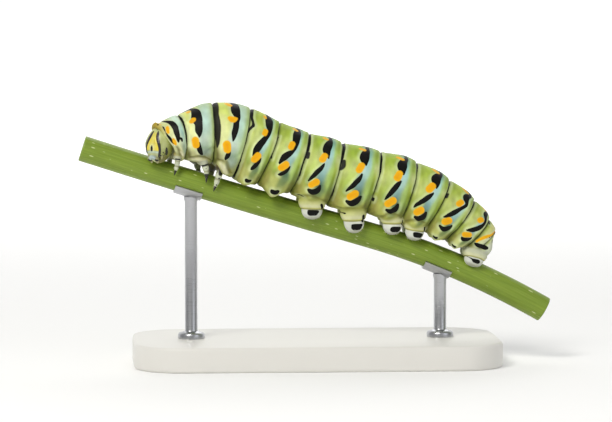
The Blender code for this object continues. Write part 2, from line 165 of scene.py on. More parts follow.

# Matt white studio paper: very even, with no sheen.  It glows by its own emission, more so the farther
# back it lies: painted light in place of lamps shining through the sweep from behind.
paper, shader, add = new_finish("matt_white_paper", {
    "Base Color": paint("#f0f0ef"), "Roughness": 0.9, "Specular IOR Level": 0.2,
    "Emission Color": paint("#ffffff"),
})
place = add("TexCoord", out="Object")
grain = add("TexNoise", {"Vector": place, "Scale": 900.0, "Detail": 2.0})
depth = add("SeparateXYZ", {"Vector": place}, "Y")
feed(shader, {
    "Normal": add("Bump", {"Height": grain, "Distance": 0.02 * MM, "Strength": 0.3}),
    "Emission Strength": add(
        "MapRange", {"Value": depth, "From Min": 0.03, "From Max": 0.45, "To Min": 0.11, "To Max": 0.52},
        interpolation_type="SMOOTHSTEP",
    ),
})
# the sweep's profile: flat, a quarter circle, and straight up, with a second skin 2 mm behind it
bend = np.radians(np.linspace(-90, 0, 33))
profile_y = np.concatenate([[SWEEP_FRONT], SWEEP_BACK - SWEEP_BEND + SWEEP_BEND * np.cos(bend), [SWEEP_BACK]])
profile_z = np.concatenate([[0], SWEEP_BEND + SWEEP_BEND * np.sin(bend), [SWEEP_TOP]])
profile = np.stack([profile_y, profile_z], -1)
outline = np.concatenate([profile, (profile + [2 * MM, -2 * MM])[::-1]])
count = len(outline)
across = np.concatenate([np.full(count, -SWEEP_HALF), np.full(count, SWEEP_HALF)])
edge = np.arange(count)
sweep_faces = np.stack([edge, np.roll(edge, -1), np.roll(edge, -1) + count, edge + count], -1)
half = edge[: count // 2 - 1]
ends = np.stack([half, count - 1 - half, count - 2 - half, half + 1], -1)
sweep = piece(
    "studio_sweep", np.column_stack([across, np.vstack([outline, outline])]),
    [sweep_faces, ends, ends[:, ::-1] + count], paper, sharp=True,
)

# The stem

# A cut length of the food plant's green stalk, round, juicy and finely ribbed, with pale flecks of cork
# along it.  Both ends are cut clean across and show the paler pith.
STEM_RADIUS = 1.53 * MM
STEM_BEND_X, STEM_BEND_Z = 6.66 * MM, 15.36 * MM
STEM_FALL = 0.296  # drop for each unit of run, where the stem is straight
STEM_BEND = 6.54  # added drop for each square metre of run past the bend
STEM_SAG, STEM_LIFT = 0.12 * MM, 0.55  # drop all along, and rise for each square metre forward of STEM_TURN
STEM_TURN = -2 * MM
STEM_FRONT_X, STEM_REAR_X, STEM_STATIONS, STEM_SIDES = -27.97 * MM, 27.60 * MM, 180, 96
STEM_RIBS, STEM_RIB_HEIGHT = 17, 0.010 * MM
# share of the radius, and depth behind the cut in mm, from the middle of a cut face to the skin
CUT_FACE = np.array(
    [(0.15, 0.10), (0.45, 0.09), (0.72, 0.05), (0.86, 0.02), (0.95, 0.0), (0.985, 0.02), (1.0, 0.07)]
)
OF_COLOURS = {"out": "Result", "data_type": "RGBA"}  # for a Mix node


def stem_level(x):
    """Height of the stem's middle line: a straight fall, less a parabola past the bend, plus a weaker one
    towards its front end."""
    run, front = x - STEM_BEND_X, np.minimum(x - STEM_TURN, 0)
    return (
        STEM_BEND_Z - STEM_SAG - STEM_FALL * run - STEM_BEND * np.maximum(run, 0) ** 2
        + STEM_LIFT * front**2
    )


def unit(vectors):
    """Vectors over their lengths."""
    return vectors / np.linalg.norm(vectors, axis=-1, keepdims=True)


def stem_way(x):
    """The stem's direction: one along x, the slope of its level along z."""
    slope = (
        2 * STEM_LIFT * np.minimum(x - STEM_TURN, 0) - STEM_FALL
        - 2 * STEM_BEND * np.maximum(x - STEM_BEND_X, 0)
    )
    return unit(np.stack([np.ones_like(slope), np.zeros_like(slope), slope], -1))


def ring_turns(sides):
    """The turns of evenly spread points round a ring, in radians."""
    return np.arange(sides) * 2 * np.pi / sides


def ring_offsets(radius, turns, first, second):
    """Offsets round a middle line: the cosine of each turn along the first way, its sine along the second."""
    return (radius * np.cos(turns))[..., None] * first + (radius * np.sin(turns))[..., None] * second


def tube_quads(grid):
    """Quads between the rows of a grid of corner numbers, each row a ring."""
    after = np.roll(grid, -1, axis=1)
    return np.stack([grid[:-1], after[:-1], after[1:], grid[1:]], -1).reshape(-1, 4)


def read_out(items, key, width, kind=float):
    """A property of every item as an array, with a row for each item."""
    values = np.empty(len(items) * width, kind)
    items.foreach_get(key, values)
    return values.reshape(-1, width)


def closed_tube(name, rows, material, values=None, sharp=False):
    """A closed skin over a grid of points, row after row of a tube: quads between the rows, and each end
    closed by a fan to the mean of its row.  Values, one list of numbers for each name, become colour
    attributes of the corners, and the fans' middles take the mean of their row."""
    count, sides = rows.shape[:2]
    grid = np.arange(count * sides).reshape(count, sides)
    first = np.stack([np.roll(grid[0], -1), grid[0], np.full(sides, count * sides)], -1)
    last = np.stack([grid[-1], np.roll(grid[-1], -1), np.full(sides, count * sides + 1)], -1)
    points = np.vstack([rows.reshape(-1, 3), rows[0].mean(0), rows[-1].mean(0)])
    made = piece(name, points, [tube_quads(grid), first, last], material, sharp)
    for key, grid_values in (values or {}).items():
        full = np.ones((len(points), 4))
        width = grid_values.shape[-1]
        full[:-2, :width] = grid_values.reshape(-1, width)
        full[-2, :width], full[-1, :width] = grid_values[0].mean(0), grid_values[-1].mean(0)
        corner = read_out(made.data.loops, "vertex_index", 1, np.int32)[:, 0]
        attribute = made.data.attributes.new(key, "FLOAT_COLOR", "CORNER")
        attribute.data.foreach_set("color", full[corner].astype(np.float32).ravel())
    return made


cut_share, cut_depth = CUT_FACE[:, 0], CUT_FACE[:, 1] * MM
stem_x = np.linspace(STEM_FRONT_X, STEM_REAR_X, STEM_STATIONS)
stem_run = np.concatenate([stem_x[0] + cut_depth, stem_x[1:-1], stem_x[-1] - cut_depth[::-1]])
stem_share = np.concatenate([cut_share, np.ones(STEM_STATIONS - 2), cut_share[::-1]])
cut_x = np.concatenate([np.full(len(CUT_FACE), stem_x[0]), stem_x[1:-1], np.full(len(CUT_FACE), stem_x[-1])])
stem_along = stem_way(cut_x)
stem_middle = np.stack([cut_x, 0 * cut_x, stem_level(cut_x)], -1) + stem_along * (stem_run - cut_x)[:, None]
turns = ring_turns(STEM_SIDES)
ribbed = 1 + (STEM_RIB_HEIGHT / STEM_RADIUS) * np.sin(STEM_RIBS * turns)
stem_out = STEM_RADIUS * stem_share[:, None] * ribbed
stem_up = np.cross(stem_along, [0, 1, 0])
stem_rows = stem_middle[:, None] + ring_offsets(stem_out, turns, stem_up[:, None], np.array([0, 1.0, 0]))
# the stem drawn out straight, from one half, for a decimetre along and a centimetre across: the flecks and
# fibres follow it
stem_straight = 0.5 + np.stack([
    stem_run[:, None] / 0.1 + 0 * stem_out,
    stem_out * np.cos(turns) / 0.01,
    stem_out * np.sin(turns) / 0.01,
], -1)

# Fresh green plant skin, waxy and a little wet under the wax: satin, not glossy, with light carried a
# short way inside.
stalk, shader, add = new_finish("fresh_green_stalk", {
    "Roughness": 0.42, "IOR": 1.42, "Subsurface Weight": 0.12, "Subsurface Radius": (0.5, 0.8, 0.2),
    "Subsurface Scale": 0.6 * MM,
})
straight = add("Attribute", out="Vector", attribute_name="straight")
metric = add("VectorMath", {0: straight, 1: (-0.5, -0.5, -0.5)}, operation="ADD")
millimetres = add("VectorMath", {0: metric, 1: (100.0, 10.0, 10.0)}, operation="MULTIPLY")
fibre_place = add("VectorMath", {0: millimetres, 1: (0.16, 4.0, 4.0)}, operation="MULTIPLY")
fibres = add("TexNoise", {"Vector": fibre_place, "Scale": 1.6, "Detail": 4.0, "Roughness": 0.6})
greens = add("ValToRGB", {"Fac": fibres})
for element, position, colour in zip(greens.node.color_ramp.elements, (0.30, 0.72), ("#66801f", "#8da23a")):
    element.position, element.color = position, paint(colour)
cloudy = add("Mix", {"Factor": 0.35, "A": greens, "B": paint("#7d9430")}, **OF_COLOURS)
# Corky flecks 0.2 to 0.7 mm long and 0.1 mm wide, about one to a square millimetre, most of them faint:
# stretched Voronoi cells, of which their own random shade keeps some.
fleck_place = add("VectorMath", {0: millimetres, 1: (0.75, 2.9, 2.9)}, operation="MULTIPLY")
cells = add("TexVoronoi", {"Vector": fleck_place, "Scale": 1.0}).node.outputs
cell_share = add("SeparateColor", {"Color": cells["Color"]})
fleck_size = add("MapRange", {"Value": cell_share, "From Min": 0.25, "To Max": 0.26})
fleck_depth = add("Math", {0: fleck_size, 1: cells["Distance"]}, operation="SUBTRACT")
flecks = add("MapRange", {"Value": fleck_depth, "From Max": 0.10, "To Max": 0.92})
flecked = add("Mix", {"Factor": flecks, "A": cloudy, "B": paint("#d4da9e")}, **OF_COLOURS)
# pale pith where the cut face is less than 1.3 mm from the middle
pith_axis = add("VectorMath", {0: millimetres, 1: (0.0, 1.0, 1.0)}, operation="MULTIPLY")
pith_radius = add("VectorMath", {0: pith_axis}, "Value", operation="LENGTH")
pith = add("MapRange", {"Value": pith_radius, "From Min": 1.38, "From Max": 1.22, "To Max": 0.9})
feed(shader, {
    "Base Color": add("Mix", {"Factor": pith, "A": flecked, "B": paint("#cdd6a0")}, **OF_COLOURS),
    "Normal": add("Bump", {"Height": fibres, "Distance": 0.03 * MM, "Strength": 0.5}),
})
stem = closed_tube("stem", stem_rows, stalk, {"straight": stem_straight})
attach(stem, "root")
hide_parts("perch_stem")

# The stand

# A plain display stand: a flat plate of machined aluminium, lacquered off-white, and two turned steel
# pins pressed into it, each with a collar at its foot and a bent saddle soldered on to cradle the stem.
BASE_LENGTH, BASE_WIDTH, BASE_HEIGHT, BASE_CORNER, BASE_EDGE = 44 * MM, 22 * MM, 3 * MM, 6 * MM, 0.4 * MM
PLATE_SIDES, PIN_SIDES = 160, 40
PIN_RADIUS, COLLAR_RADIUS, COLLAR_HEIGHT = 0.75 * MM, 1.6 * MM, 0.9 * MM
SADDLE_LENGTH, SADDLE_WALL, SADDLE_HALF_TURN = 3.2 * MM, 0.28 * MM, np.radians(62)


def plate_outline(inset):
    """A rounded rectangle, inset all round: the corner centres plus the corner radius, less the inset,
    in the direction of each turn."""
    way = np.stack([np.cos(ring_turns(PLATE_SIDES)), np.sin(ring_turns(PLATE_SIDES))], -1)
    centre = np.array([BASE_LENGTH / 2 - BASE_CORNER, BASE_WIDTH / 2 - BASE_CORNER])
    return np.tanh(way * 12) * centre + way * (BASE_CORNER - inset)


# the plate's profile: under side, eased edge, side, eased edge, top
eased = np.linspace(0, np.pi / 2, 6)
rising, falling = BASE_EDGE * (1 - np.cos(eased)), BASE_EDGE * (1 - np.sin(eased))
plate_inset = np.concatenate([[5.5 * MM], falling, rising, [5.5 * MM]])
plate_height = np.concatenate([[0], rising, BASE_HEIGHT - falling, [BASE_HEIGHT]])
plate_rows = np.stack([
    np.concatenate([plate_outline(inset), np.full((PLATE_SIDES, 1), height)], -1)
    for inset, height in zip(plate_inset, plate_height)
])
# Satin lacquer over aluminium: even and a little orange-peeled, with a soft reflection.
lacquer, shader, add = new_finish("satin_lacquer", {"Roughness": 0.38, "IOR": 1.5})
place = add("TexCoord", out="Object")
peel = add("TexNoise", {"Vector": place, "Scale": 1400.0, "Detail": 2.0})
tint = add("TexNoise", {"Vector": place, "Scale": 60.0, "Detail": 3.0})
feed(shader, {
    "Base Color": add("Mix", {"Factor": tint, "A": paint("#dcdad4"), "B": paint("#e4e2dc")}, **OF_COLOURS),
    "Normal": add("Bump", {"Height": peel, "Distance": 0.006 * MM, "Strength": 0.5}),
})
plate = closed_tube("base_plate", plate_rows, lacquer, sharp=True)
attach(plate, "root")
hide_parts("stand_base")

# Turned stainless steel: fine rings left by the tool, 0.05 mm apart, bright but not mirrored.
steel, shader, add = new_finish("turned_steel", {"Base Color": paint("#b9babd"), "Metallic": 1.0})
place = add("TexCoord", out="Object")
turned = add("VectorMath", {0: place, 1: (300.0, 300.0, 20000.0)}, operation="MULTIPLY")
rings = add("TexNoise", {"Vector": turned, "Scale": 1.0, "Detail": 2.0})
feed(shader, {
    "Roughness": add("MapRange", {"Value": rings, "To Min": 0.22, "To Max": 0.38}),
    "Normal": add("Bump", {"Height": rings, "Distance": 0.003 * MM, "Strength": 0.4}),
})
for rod_name, rod_x in (("front", -15 * MM), ("rear", 15 * MM)):
    top = stem_level(rod_x) - STEM_RADIUS / stem_way(np.array(rod_x))[0] - SADDLE_WALL
    # (radius, height) of the turned pin: collar with eased edges, then the pin up into the saddle
    pin = np.array([
        (0.3 * MM, BASE_HEIGHT - 0.5 * MM),
        (COLLAR_RADIUS - 0.05 * MM, BASE_HEIGHT - 0.5 * MM),
        (COLLAR_RADIUS, BASE_HEIGHT),
        (COLLAR_RADIUS, BASE_HEIGHT + 0.55 * COLLAR_HEIGHT),
        (COLLAR_RADIUS - 0.12 * MM, BASE_HEIGHT + 0.75 * COLLAR_HEIGHT),
        (PIN_RADIUS + 0.25 * MM, BASE_HEIGHT + 0.92 * COLLAR_HEIGHT),
        (PIN_RADIUS + 0.06 * MM, BASE_HEIGHT + COLLAR_HEIGHT),
        (PIN_RADIUS, BASE_HEIGHT + 1.15 * COLLAR_HEIGHT),
        (PIN_RADIUS, top - 0.5 * MM),
        (PIN_RADIUS + 0.12 * MM, top),
        (PIN_RADIUS + 0.12 * MM, top + 0.22 * MM),
        (0.2 * MM, top + 0.24 * MM),
    ])
    pin_middle = pin[:, 1:, None] * [0, 0, 1.0] + [rod_x, 0, 0]
    pin_rows = pin_middle + ring_offsets(pin[:, :1], ring_turns(PIN_SIDES), *np.eye(3)[:2])
    rod = closed_tube(f"rod_{rod_name}", pin_rows, steel, sharp=True)
    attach(rod, "root")
    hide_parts(f"stand_rod_{rod_name}")
    # the saddle: a strip bent round the underside of the stem, its section an outer and an inner arc, both
    # drawn in by 0.04 mm at its ends
    arc = np.linspace(-SADDLE_HALF_TURN, SADDLE_HALF_TURN, 20)
    outside = np.repeat([1, -1], 20)
    radius = STEM_RADIUS + np.where(outside > 0, SADDLE_WALL, 0.01 * MM)
    saddle_x = rod_x + np.array([-0.5, -0.485, 0.485, 0.5]) * SADDLE_LENGTH
    trims = np.array([0.04, 0, 0, 0.04])[:, None] * MM
    turns = np.concatenate([arc, arc[::-1]])
    below = -np.cross(stem_way(saddle_x), [0, 1, 0])[:, None]
    saddle_rows = (
        np.stack([saddle_x, 0 * saddle_x, stem_level(saddle_x)], -1)[:, None]
        + (np.cos(turns) * (radius - outside * trims))[..., None] * below
        + (np.sin(turns) * radius + 0 * trims)[..., None] * np.array([0, 1.0, 0])
    )
    saddle = closed_tube(f"saddle_{rod_name}", saddle_rows, steel, sharp=True)
    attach(saddle, "root")

# The skin

# One soft skin over the thirteen rings of the body and the ten prolegs.  In life it is thin, leathery
# cuticle filled out by the fluid inside, folded in at each joint; it is grown in one, with its green
# ground, black bars and orange spots in the cuticle itself.
# For the fold in front of each ring, in mm and degrees: the middle of the section, half its height and
# width, how far it leans back and how far it turns to the left flank.
FOLDS = np.array([
    (-18.00, -1.05, 26.50, 2.40, 2.34, -34, 22),
    (-16.00, -0.62, 27.09, 2.81, 2.86, -11, 10),
    (-12.42, -0.12, 27.57, 3.67, 3.42, 1, 2),
    (-8.82, 0.00, 26.46, 4.22, 3.70, 14, 3),
    (-5.40, 0.00, 25.19, 3.90, 3.66, 17, 1),
    (-1.83, 0.00, 24.01, 3.70, 3.60, 17, 1),
    (2.37, 0.00, 22.71, 3.79, 3.60, 13, 1),
    (7.09, 0.00, 21.75, 3.65, 3.58, 11, 1),
    (11.33, 0.00, 20.37, 3.73, 3.46, 13, 0),
    (14.75, 0.00, 18.86, 3.35, 3.18, 25, 0),
    (17.49, 0.00, 16.99, 2.97, 2.80, 35, 0),
    (19.38, 0.00, 15.40, 2.34, 2.36, 42, 0),
    (20.25, 0.00, 14.47, 1.90, 2.04, 48, 0),
    (21.05, 0.00, 13.93, 1.31, 1.55, 13, 0),
])
# how far each fold runs forward low on the flank, in mm
FOLD_SLIDES = (0, 0.45, 0, 0.30, 0.60, 0.25, 0.30, 0.50, 0.50, 0.40, 0.30, 0.10, 0, 0)
LAST_RING = 12
WIDEST_DROP = 0.12  # the widest level lies this share of the half height below the middle
CREST_HEIGHTS = np.array([0.17, 0.15, 0.13, 0.00, 0.10, 0.28, 0.18, 0.28, 0.28, 0.20, 0.30, 0.10, 0.0])
# the lobe low on each flank: its height in mm, and the degrees from the back at which it sits
LOBE_HEIGHTS = np.array([0.05, 0.30, 0.75, 0.90, 1.45, 0.70, 0.70, 0.70, 0.60, 0.90, 0.85, 0.10, 0.0])
LOBE_TURNS = np.array([142, 142, 142, 142, 146, 136, 136, 136, 136, 142, 142, 142, 142])
BELLY_STATIONS, BELLY_HEIGHTS = (0.3, 1.0, 1.6, 2.2, 3.2, 9.5, 11.0), (0, -0.30, -0.15, 0, 0.22, 0.22, 0)
NECK_ROLL = 0.34  # mm, radius of the rolled edge behind the head
RING_LENGTHS = np.linalg.norm(np.diff(FOLDS[:, :3], axis=0), axis=1)
AROUND, ROW_STEP = 200, 0.128  # corners round the body, and about how many mm apart its rows lie
CLEAR = 2.0  # mm, a distance that counts as clear of every mark
NEAR_STROKE = 0.6  # how far past the ends of a stroke, in rings, the skin is measured
SIDES = (("left", 1), ("right", -1))


def through(rows, at):
    """Values between the rows of a table, one row to a whole number: cubic pieces that pass through every
    row, with slopes of half the step between its neighbours."""
    rows, at = np.asarray(rows, float), np.asarray(at, float)
    last = len(rows) - 1
    near = np.clip(np.floor(at).astype(int), 0, last - 1)
    part = (at - near)[..., None]
    before, here, there, after = (rows[np.clip(near + step, 0, last)] for step in (-1, 0, 1, 2))
    return (
        (2 * part**3 - 3 * part**2 + 1) * here + (part**3 - 2 * part**2 + part) * (there - before) / 2
        + (3 * part**2 - 2 * part**3) * there + (part**3 - part**2) * (after - here) / 2
    )


def hump(values, middle, reach):
    """A smooth hump, one at the middle: e to the minus square of the distance over the reach."""
    return np.exp(-(((values - middle) / reach) ** 2))


def body_surface(station, turn, grow=0.0, shrink=1.0, shift=0.0, fine=False):
    """Points of the skin, in metres.  The station counts folds from the neck; the turn is in radians from
    the back over the left flank.  Each section is half a round and half a squarer superellipse, set
    square to the body's own axes.  Its radius swells on the back behind the middle of a ring, in lobes low
    on the flank, and dips at the folds.  Fine adds the sharp crease and the rounded lips of each fold.
    Grow widens it by mm, shrink scales it, shift slides it to the tail by mm."""
    station, turn, grow, shrink, shift = np.broadcast_arrays(station, turn, grow, shrink, shift)
    ring = np.minimum(np.floor(station).astype(int), LAST_RING)
    share = station - ring
    fold = through(FOLDS, station)
    pitch, yaw = np.radians(fold[..., 5]), np.radians(fold[..., 6])
    back = np.stack([np.sin(pitch) * np.cos(yaw), np.sin(pitch) * np.sin(yaw), np.cos(pitch)], -1)
    left = np.stack([np.sin(yaw), -np.cos(yaw), 0 * yaw], -1)
    tailwards = np.stack([np.cos(pitch) * np.cos(yaw), np.cos(pitch) * np.sin(yaw), -np.sin(pitch)], -1)
    sine, cosine = np.sin(turn), np.cos(turn)
    degrees = np.degrees(np.minimum(turn % (2 * np.pi), 2 * np.pi - turn % (2 * np.pi)))
    power = np.where(cosine >= 0, 2.0, 2.5)
    height = fold[..., 3]
    out_side = np.sign(sine) * np.abs(sine) ** (2 / power) * fold[..., 4]
    out_up = np.sign(cosine) * np.abs(cosine) ** (2 / power) * height
    out_up = out_up * np.where(cosine >= 0, 1 + WIDEST_DROP, 1 - WIDEST_DROP)
    length = RING_LENGTHS[ring]
    tapered = np.minimum(length / 3.0, 1)
    in_front = np.where(ring == 0, 9, share * length)
    behind = np.where(ring == LAST_RING, 9, (1 - share) * length)
    near_fold = np.minimum(in_front, behind)
    on_back = np.clip(0.5 + 0.9 * cosine, 0, 1)
    belly = np.sin(np.pi * share) * 0.16 + np.interp(station, BELLY_STATIONS, BELLY_HEIGHTS)
    relief = on_back * np.sin(np.pi * np.clip(share, 0, 1) ** 1.6) * CREST_HEIGHTS[ring] * tapered
    relief = relief + (1 - on_back) * belly
    relief = relief + hump(degrees, LOBE_TURNS[ring], 19) * hump(share, 0.48, 0.27) * LOBE_HEIGHTS[ring]
    relief = relief - (hump(in_front, 0, 0.22) + hump(behind, 0, 0.22)) * 0.10 * tapered
    relief = relief + 0.42 * hump(station, 0.05, 0.17) * hump(degrees, 0, 48)
    slide = np.interp(station, np.arange(14), FOLD_SLIDES)
    slide = slide * (0.5 - 0.5 * np.cos(np.pi * np.clip((degrees - 50) / 90, 0, 1)))
    shift = shift + 0.14 * np.abs(sine) ** 2 - slide + 0.18 * hump(station, 0, 0.16) * hump(degrees, 0, 55)
    if fine:
        relief = relief - 0.13 * tapered * hump(near_fold, 0, 0.085)
        relief = relief + 0.03 * tapered * hump(near_fold, 0.30, 0.14)
        shift = shift - 0.12 * tapered * hump(near_fold, 0, 0.12)
    reach = 1 + (relief + grow) / np.hypot(out_side, out_up)
    return MM * (
        fold[..., :3] - back * (WIDEST_DROP * height)[..., None]
        + (out_side * reach * shrink)[..., None] * left + (out_up * reach * shrink)[..., None] * back
        + shift[..., None] * tailwards
    )


# The rows of the skin (station, grow, shrink, shift): the neck turned in behind the head, the rolled edge,
# the rings with more rows near their folds, and the rounded tail.
rows = [(0.0, -2 * NECK_ROLL, *inner) for inner in ((0.12, 0.9), (0.35, 0.8), (0.6, 0.55), (0.82, 0.25))]
for roll in np.radians([180, 155, 130, 110, 90, 70, 50, 30, 14]):
    rows.append((0.0, -NECK_ROLL * (1 - np.cos(roll)), 1.0, -NECK_ROLL * np.sin(roll)))
for ring in range(LAST_RING):
    count = int(round(RING_LENGTHS[ring] / ROW_STEP)) + 2
    for even in np.arange(count) / count:
        rows.append((ring + even - 0.075 * np.sin(2 * np.pi * even), 0.0, 1.0, 0.0))
for step in np.sin(np.radians(np.linspace(0, 87, 24))):
    rows.append((LAST_RING + step, 0.0, (1 - step**5) ** (1 / 5), 0.0))
rows = np.array(rows)
row_station = rows[:, :1]
turns = ring_turns(AROUND)[None, :]
row_shape = row_station, turns, rows[:, 1:2], rows[:, 2:3], rows[:, 3:]
plain_skin, skin_rows = body_surface(*row_shape), body_surface(*row_shape, fine=True)


def stroke(numbers, scale=(100, 1, 100), steps=4):
    """The knots of a stroke from three whole numbers for each, over the scale, with more knots between."""
    knots = np.reshape(numbers, (-1, 3)) / scale
    return through(knots, np.linspace(0, len(knots) - 1, steps * (len(knots) - 1) + 1))


def stroke_field(points, places, halves):
    """Distance in mm from points to a stroke, less its half width there, so that it is negative inside,
    plus 0.02 mm, by which every mark is drawn in.  Its knots have places in metres and half widths in mm.
    The distance is the least of those to the nearest point of each straight piece."""
    start, step = places[:-1] / MM, np.diff(places, axis=0) / MM
    reach = points[..., None, :] / MM - start
    share = np.clip((reach * step).sum(-1) / np.maximum((step**2).sum(-1), 1e-9), 0, 1)
    gap = np.linalg.norm(reach - share[..., None] * step, axis=-1)
    return (gap - (halves[:-1] + share * np.diff(halves))).min(-1) + 0.02


def body_field(strokes):
    """The least distance to any of the strokes, drawn alike on both flanks."""
    field = np.full(plain_skin.shape[:2], CLEAR)
    for numbers in strokes:
        at, degrees, halves = stroke(numbers).T
        near = np.flatnonzero((rows[:, 0] > at.min() - NEAR_STROKE) & (rows[:, 0] < at.max() + NEAR_STROKE))
        for _, side in SIDES:
            places = body_surface(at, np.radians(side * degrees))
            field[near] = np.minimum(field[near], stroke_field(plain_skin[near], places, halves))
    return field


# Each knot of a stroke is three whole numbers: hundredths of a ring past the neck, degrees from the middle
# of the back, and half its width in hundredths of a mm.
BLACK_BARS = [
    # first ring: a bar over the back with a hook, and dots on the rolled edge
    (42,0,12, 46,8,16, 51,16,21, 59,30,33, 61,46,37, 55,62,35, 48,74,25, 40,83,13),
    (63,76,8, 68,80,14, 66,85,10),
    (-4,13,11, -1,17,12),
    (16,31,14, 7,37,12, -4,46,10, -11,57,15, -14,67,17, -16,78,16, -16,86,8),
    # the fold behind it
    (101,0,7, 102,27,9, 102,44,10, 99,64,11, 99,81,11, 101,96,8, 102,112,4),
    # second ring
    (118,0,20, 132,0,28, 142,14,32, 146,30,56, 145,46,68, 147,60,50, 145,71,47, 146,79,30, 145,86,6),
    (145,94,10, 145,106,33, 152,119,25, 157,124,12),
    # third ring
    (230,0,16, 246,2,30, 254,14,46, 256,34,58, 262,48,36, 260,56,36, 260,65,38, 258,75,36, 258,82,20,
     258,87,6),
    (253,96,10, 250,108,30, 243,118,15),
    (300,0,12, 303,10,18, 303,34,11, 307,46,14, 309,52,20, 304,57,15, 300,66,6, 300,91,5, 302,112,6,
     302,130,10, 304,165,10),
    # first ring of the abdomen
    (338,0,12, 350,5,18, 358,18,38, 359,28,50, 362,40,46, 366,49,26, 362,58,28, 354,68,36, 346,77,42,
     340,86,42, 335,94,13),
    (365,94,11, 362,101,24, 353,111,26, 348,115,13),
    (346,134,25, 362,136,26),
    (401,50,6, 399,65,7, 399,80,7, 402,90,5),
    # second
    (438,0,12, 452,4,18, 460,12,24, 458,26,44, 457,36,50, 457,48,46, 459,58,30, 457,67,20, 447,74,36,
     436,82,40, 429,92,15),
    (464,91,10, 458,100,24, 447,108,22, 440,110,10),
    (442,138,30, 458,138,33),
    (502,0,9, 502,27,11, 502,46,12, 501,60,12, 500,70,9, 499,80,8, 500,92,8, 502,104,6, 502,114,4),
    # third
    (540,0,10, 552,4,16, 560,12,20, 561,24,28, 557,34,46, 554,42,54, 553,50,50, 558,57,28, 562,63,9),
    (554,73,12, 548,82,28, 540,90,30, 532,98,22, 527,105,10),
    (561,106,14, 559,115,34, 548,121,36, 536,120,20),
    (515,152,7, 525,147,11, 534,141,6),
    (602,0,17, 602,28,20, 601,48,15, 600,60,10, 599,72,10, 599,84,9, 599,95,8, 601,115,6, 602,130,4),
    # fourth
    (636,0,12, 650,3,16, 661,10,20, 662,24,30, 657,36,54, 655,46,60, 657,53,40, 661,59,11),
    (655,75,14, 651,84,30, 643,92,31, 634,99,23, 628,105,10),
    (668,110,16, 662,119,38, 651,124,38, 638,122,20),
    (628,162,8, 636,156,11, 645,150,6),
    (701,0,9, 701,20,12, 701,32,13, 700,52,13, 700,65,12, 699,84,9, 699,94,5),
    (703,110,12, 703,115,12),
    # fifth
    (736,0,12, 752,2,16, 765,8,20, 766,22,28, 758,34,52, 755,44,62, 757,52,42, 761,59,13),
    (758,70,11, 751,78,32, 743,88,34, 735,97,25, 730,105,10),
    (768,105,16, 766,114,36, 757,121,36, 743,121,20),
    (801,0,8, 801,26,10, 800,50,8, 799,66,8, 798,78,5),
    # sixth
    (838,0,12, 854,2,16, 865,8,20, 866,22,28, 858,34,50, 854,43,62, 858,51,42, 861,59,11),
    (858,69,11, 848,78,31, 835,88,31, 821,95,23, 816,101,9),
    (861,102,16, 860,111,34, 848,117,34, 832,117,18),
    (901,10,5, 901,26,7, 901,42,7, 900,54,5),
    # seventh
    (938,0,10, 956,2,14, 969,7,18, 974,20,26, 964,32,42, 962,40,46, 970,48,26, 971,55,22, 960,67,24,
     948,80,32, 936,90,26, 923,96,8),
    (968,101,14, 965,109,28, 953,116,32, 932,115,16),
    (934,141,14, 950,137,19),
    (1002,16,5, 1001,32,7, 1000,60,7, 998,80,5),
    # eighth
    (1042,0,10, 1058,3,18, 1064,18,28, 1062,32,36, 1074,42,22, 1078,56,22, 1068,72,30, 1050,85,30,
     1030,92,11),
    (1074,99,10, 1068,108,22, 1048,114,26, 1036,112,12),
    (1028,143,14, 1046,138,16),
    (1099,0,8, 1102,20,12, 1110,32,8),
    # ninth and tenth
    (1164,73,5, 1182,54,9, 1200,34,9, 1212,16,9, 1214,0,8),
    (1118,107,14, 1144,105,27, 1186,100,30, 1220,97,28, 1236,95,20),
    (1240,60,9, 1258,66,13),
    (1286,116,10, 1290,128,12),
]
ORANGE_SPOTS = [
    # first ring: the rolled edge and two spots on each side; then three to a ring, from the back down
    (12,0,8, 18,13,12, 20,18,10), (34,36,16, 27,42,23, 14,51,19), (12,73,15, 7,80,22, 3,86,17),
    (127,15,26, 130,17,22), (127,49,30, 133,47,34), (131,90,44, 133,98,42),
    (234,14,26, 242,20,30), (242,52,30, 250,53,42, 259,50,18), (240,93,50, 244,99,48),
    (343,19,20, 345,23,20), (352,52,30, 350,58,32), (344,98,42, 352,92,42),
    (446,16,22, 453,20,26), (448,56,36, 446,63,36), (440,97,42, 450,91,42),
    (542,18,20, 550,22,25), (550,60,40, 546,67,42), (538,110,36, 548,102,42),
    (645,22,24, 654,25,25), (650,61,42, 646,69,42), (642,113,42, 652,106,44),
    (744,22,26, 756,26,26), (750,59,42, 746,67,46), (741,110,44, 751,102,46),
    (845,16,24, 857,22,26), (848,58,44, 842,66,46), (831,107,42, 841,101,44),
    (945,12,22, 960,18,26), (953,54,36, 947,61,38), (938,102,42, 948,96,42),
    (1042,8,20, 1054,10,22), (1056,52,34, 1050,58,34), (1036,102,32, 1055,96,32),
    # and a bar across the last rings
    (1114,99,12, 1124,87,17, 1138,76,20, 1153,66,17, 1168,55,13, 1186,32,12, 1190,0,10),
]
SMOKY_BANDS = [
    # where the black of a fold shows through the skin in front of it or fades out
    (204,0,34, 205,30,34, 203,48,35, 206,62,38, 207,74,38, 208,88,29, 208,95,20, 207,103,8),
    (504,62,17, 505,70,18),
    (605,58,20, 606,67,24, 602,73,12),
    (903,54,12, 902,61,15),
]
black, orange, smoke = (body_field(strokes) for strokes in (BLACK_BARS, ORANGE_SPOTS, SMOKY_BANDS))

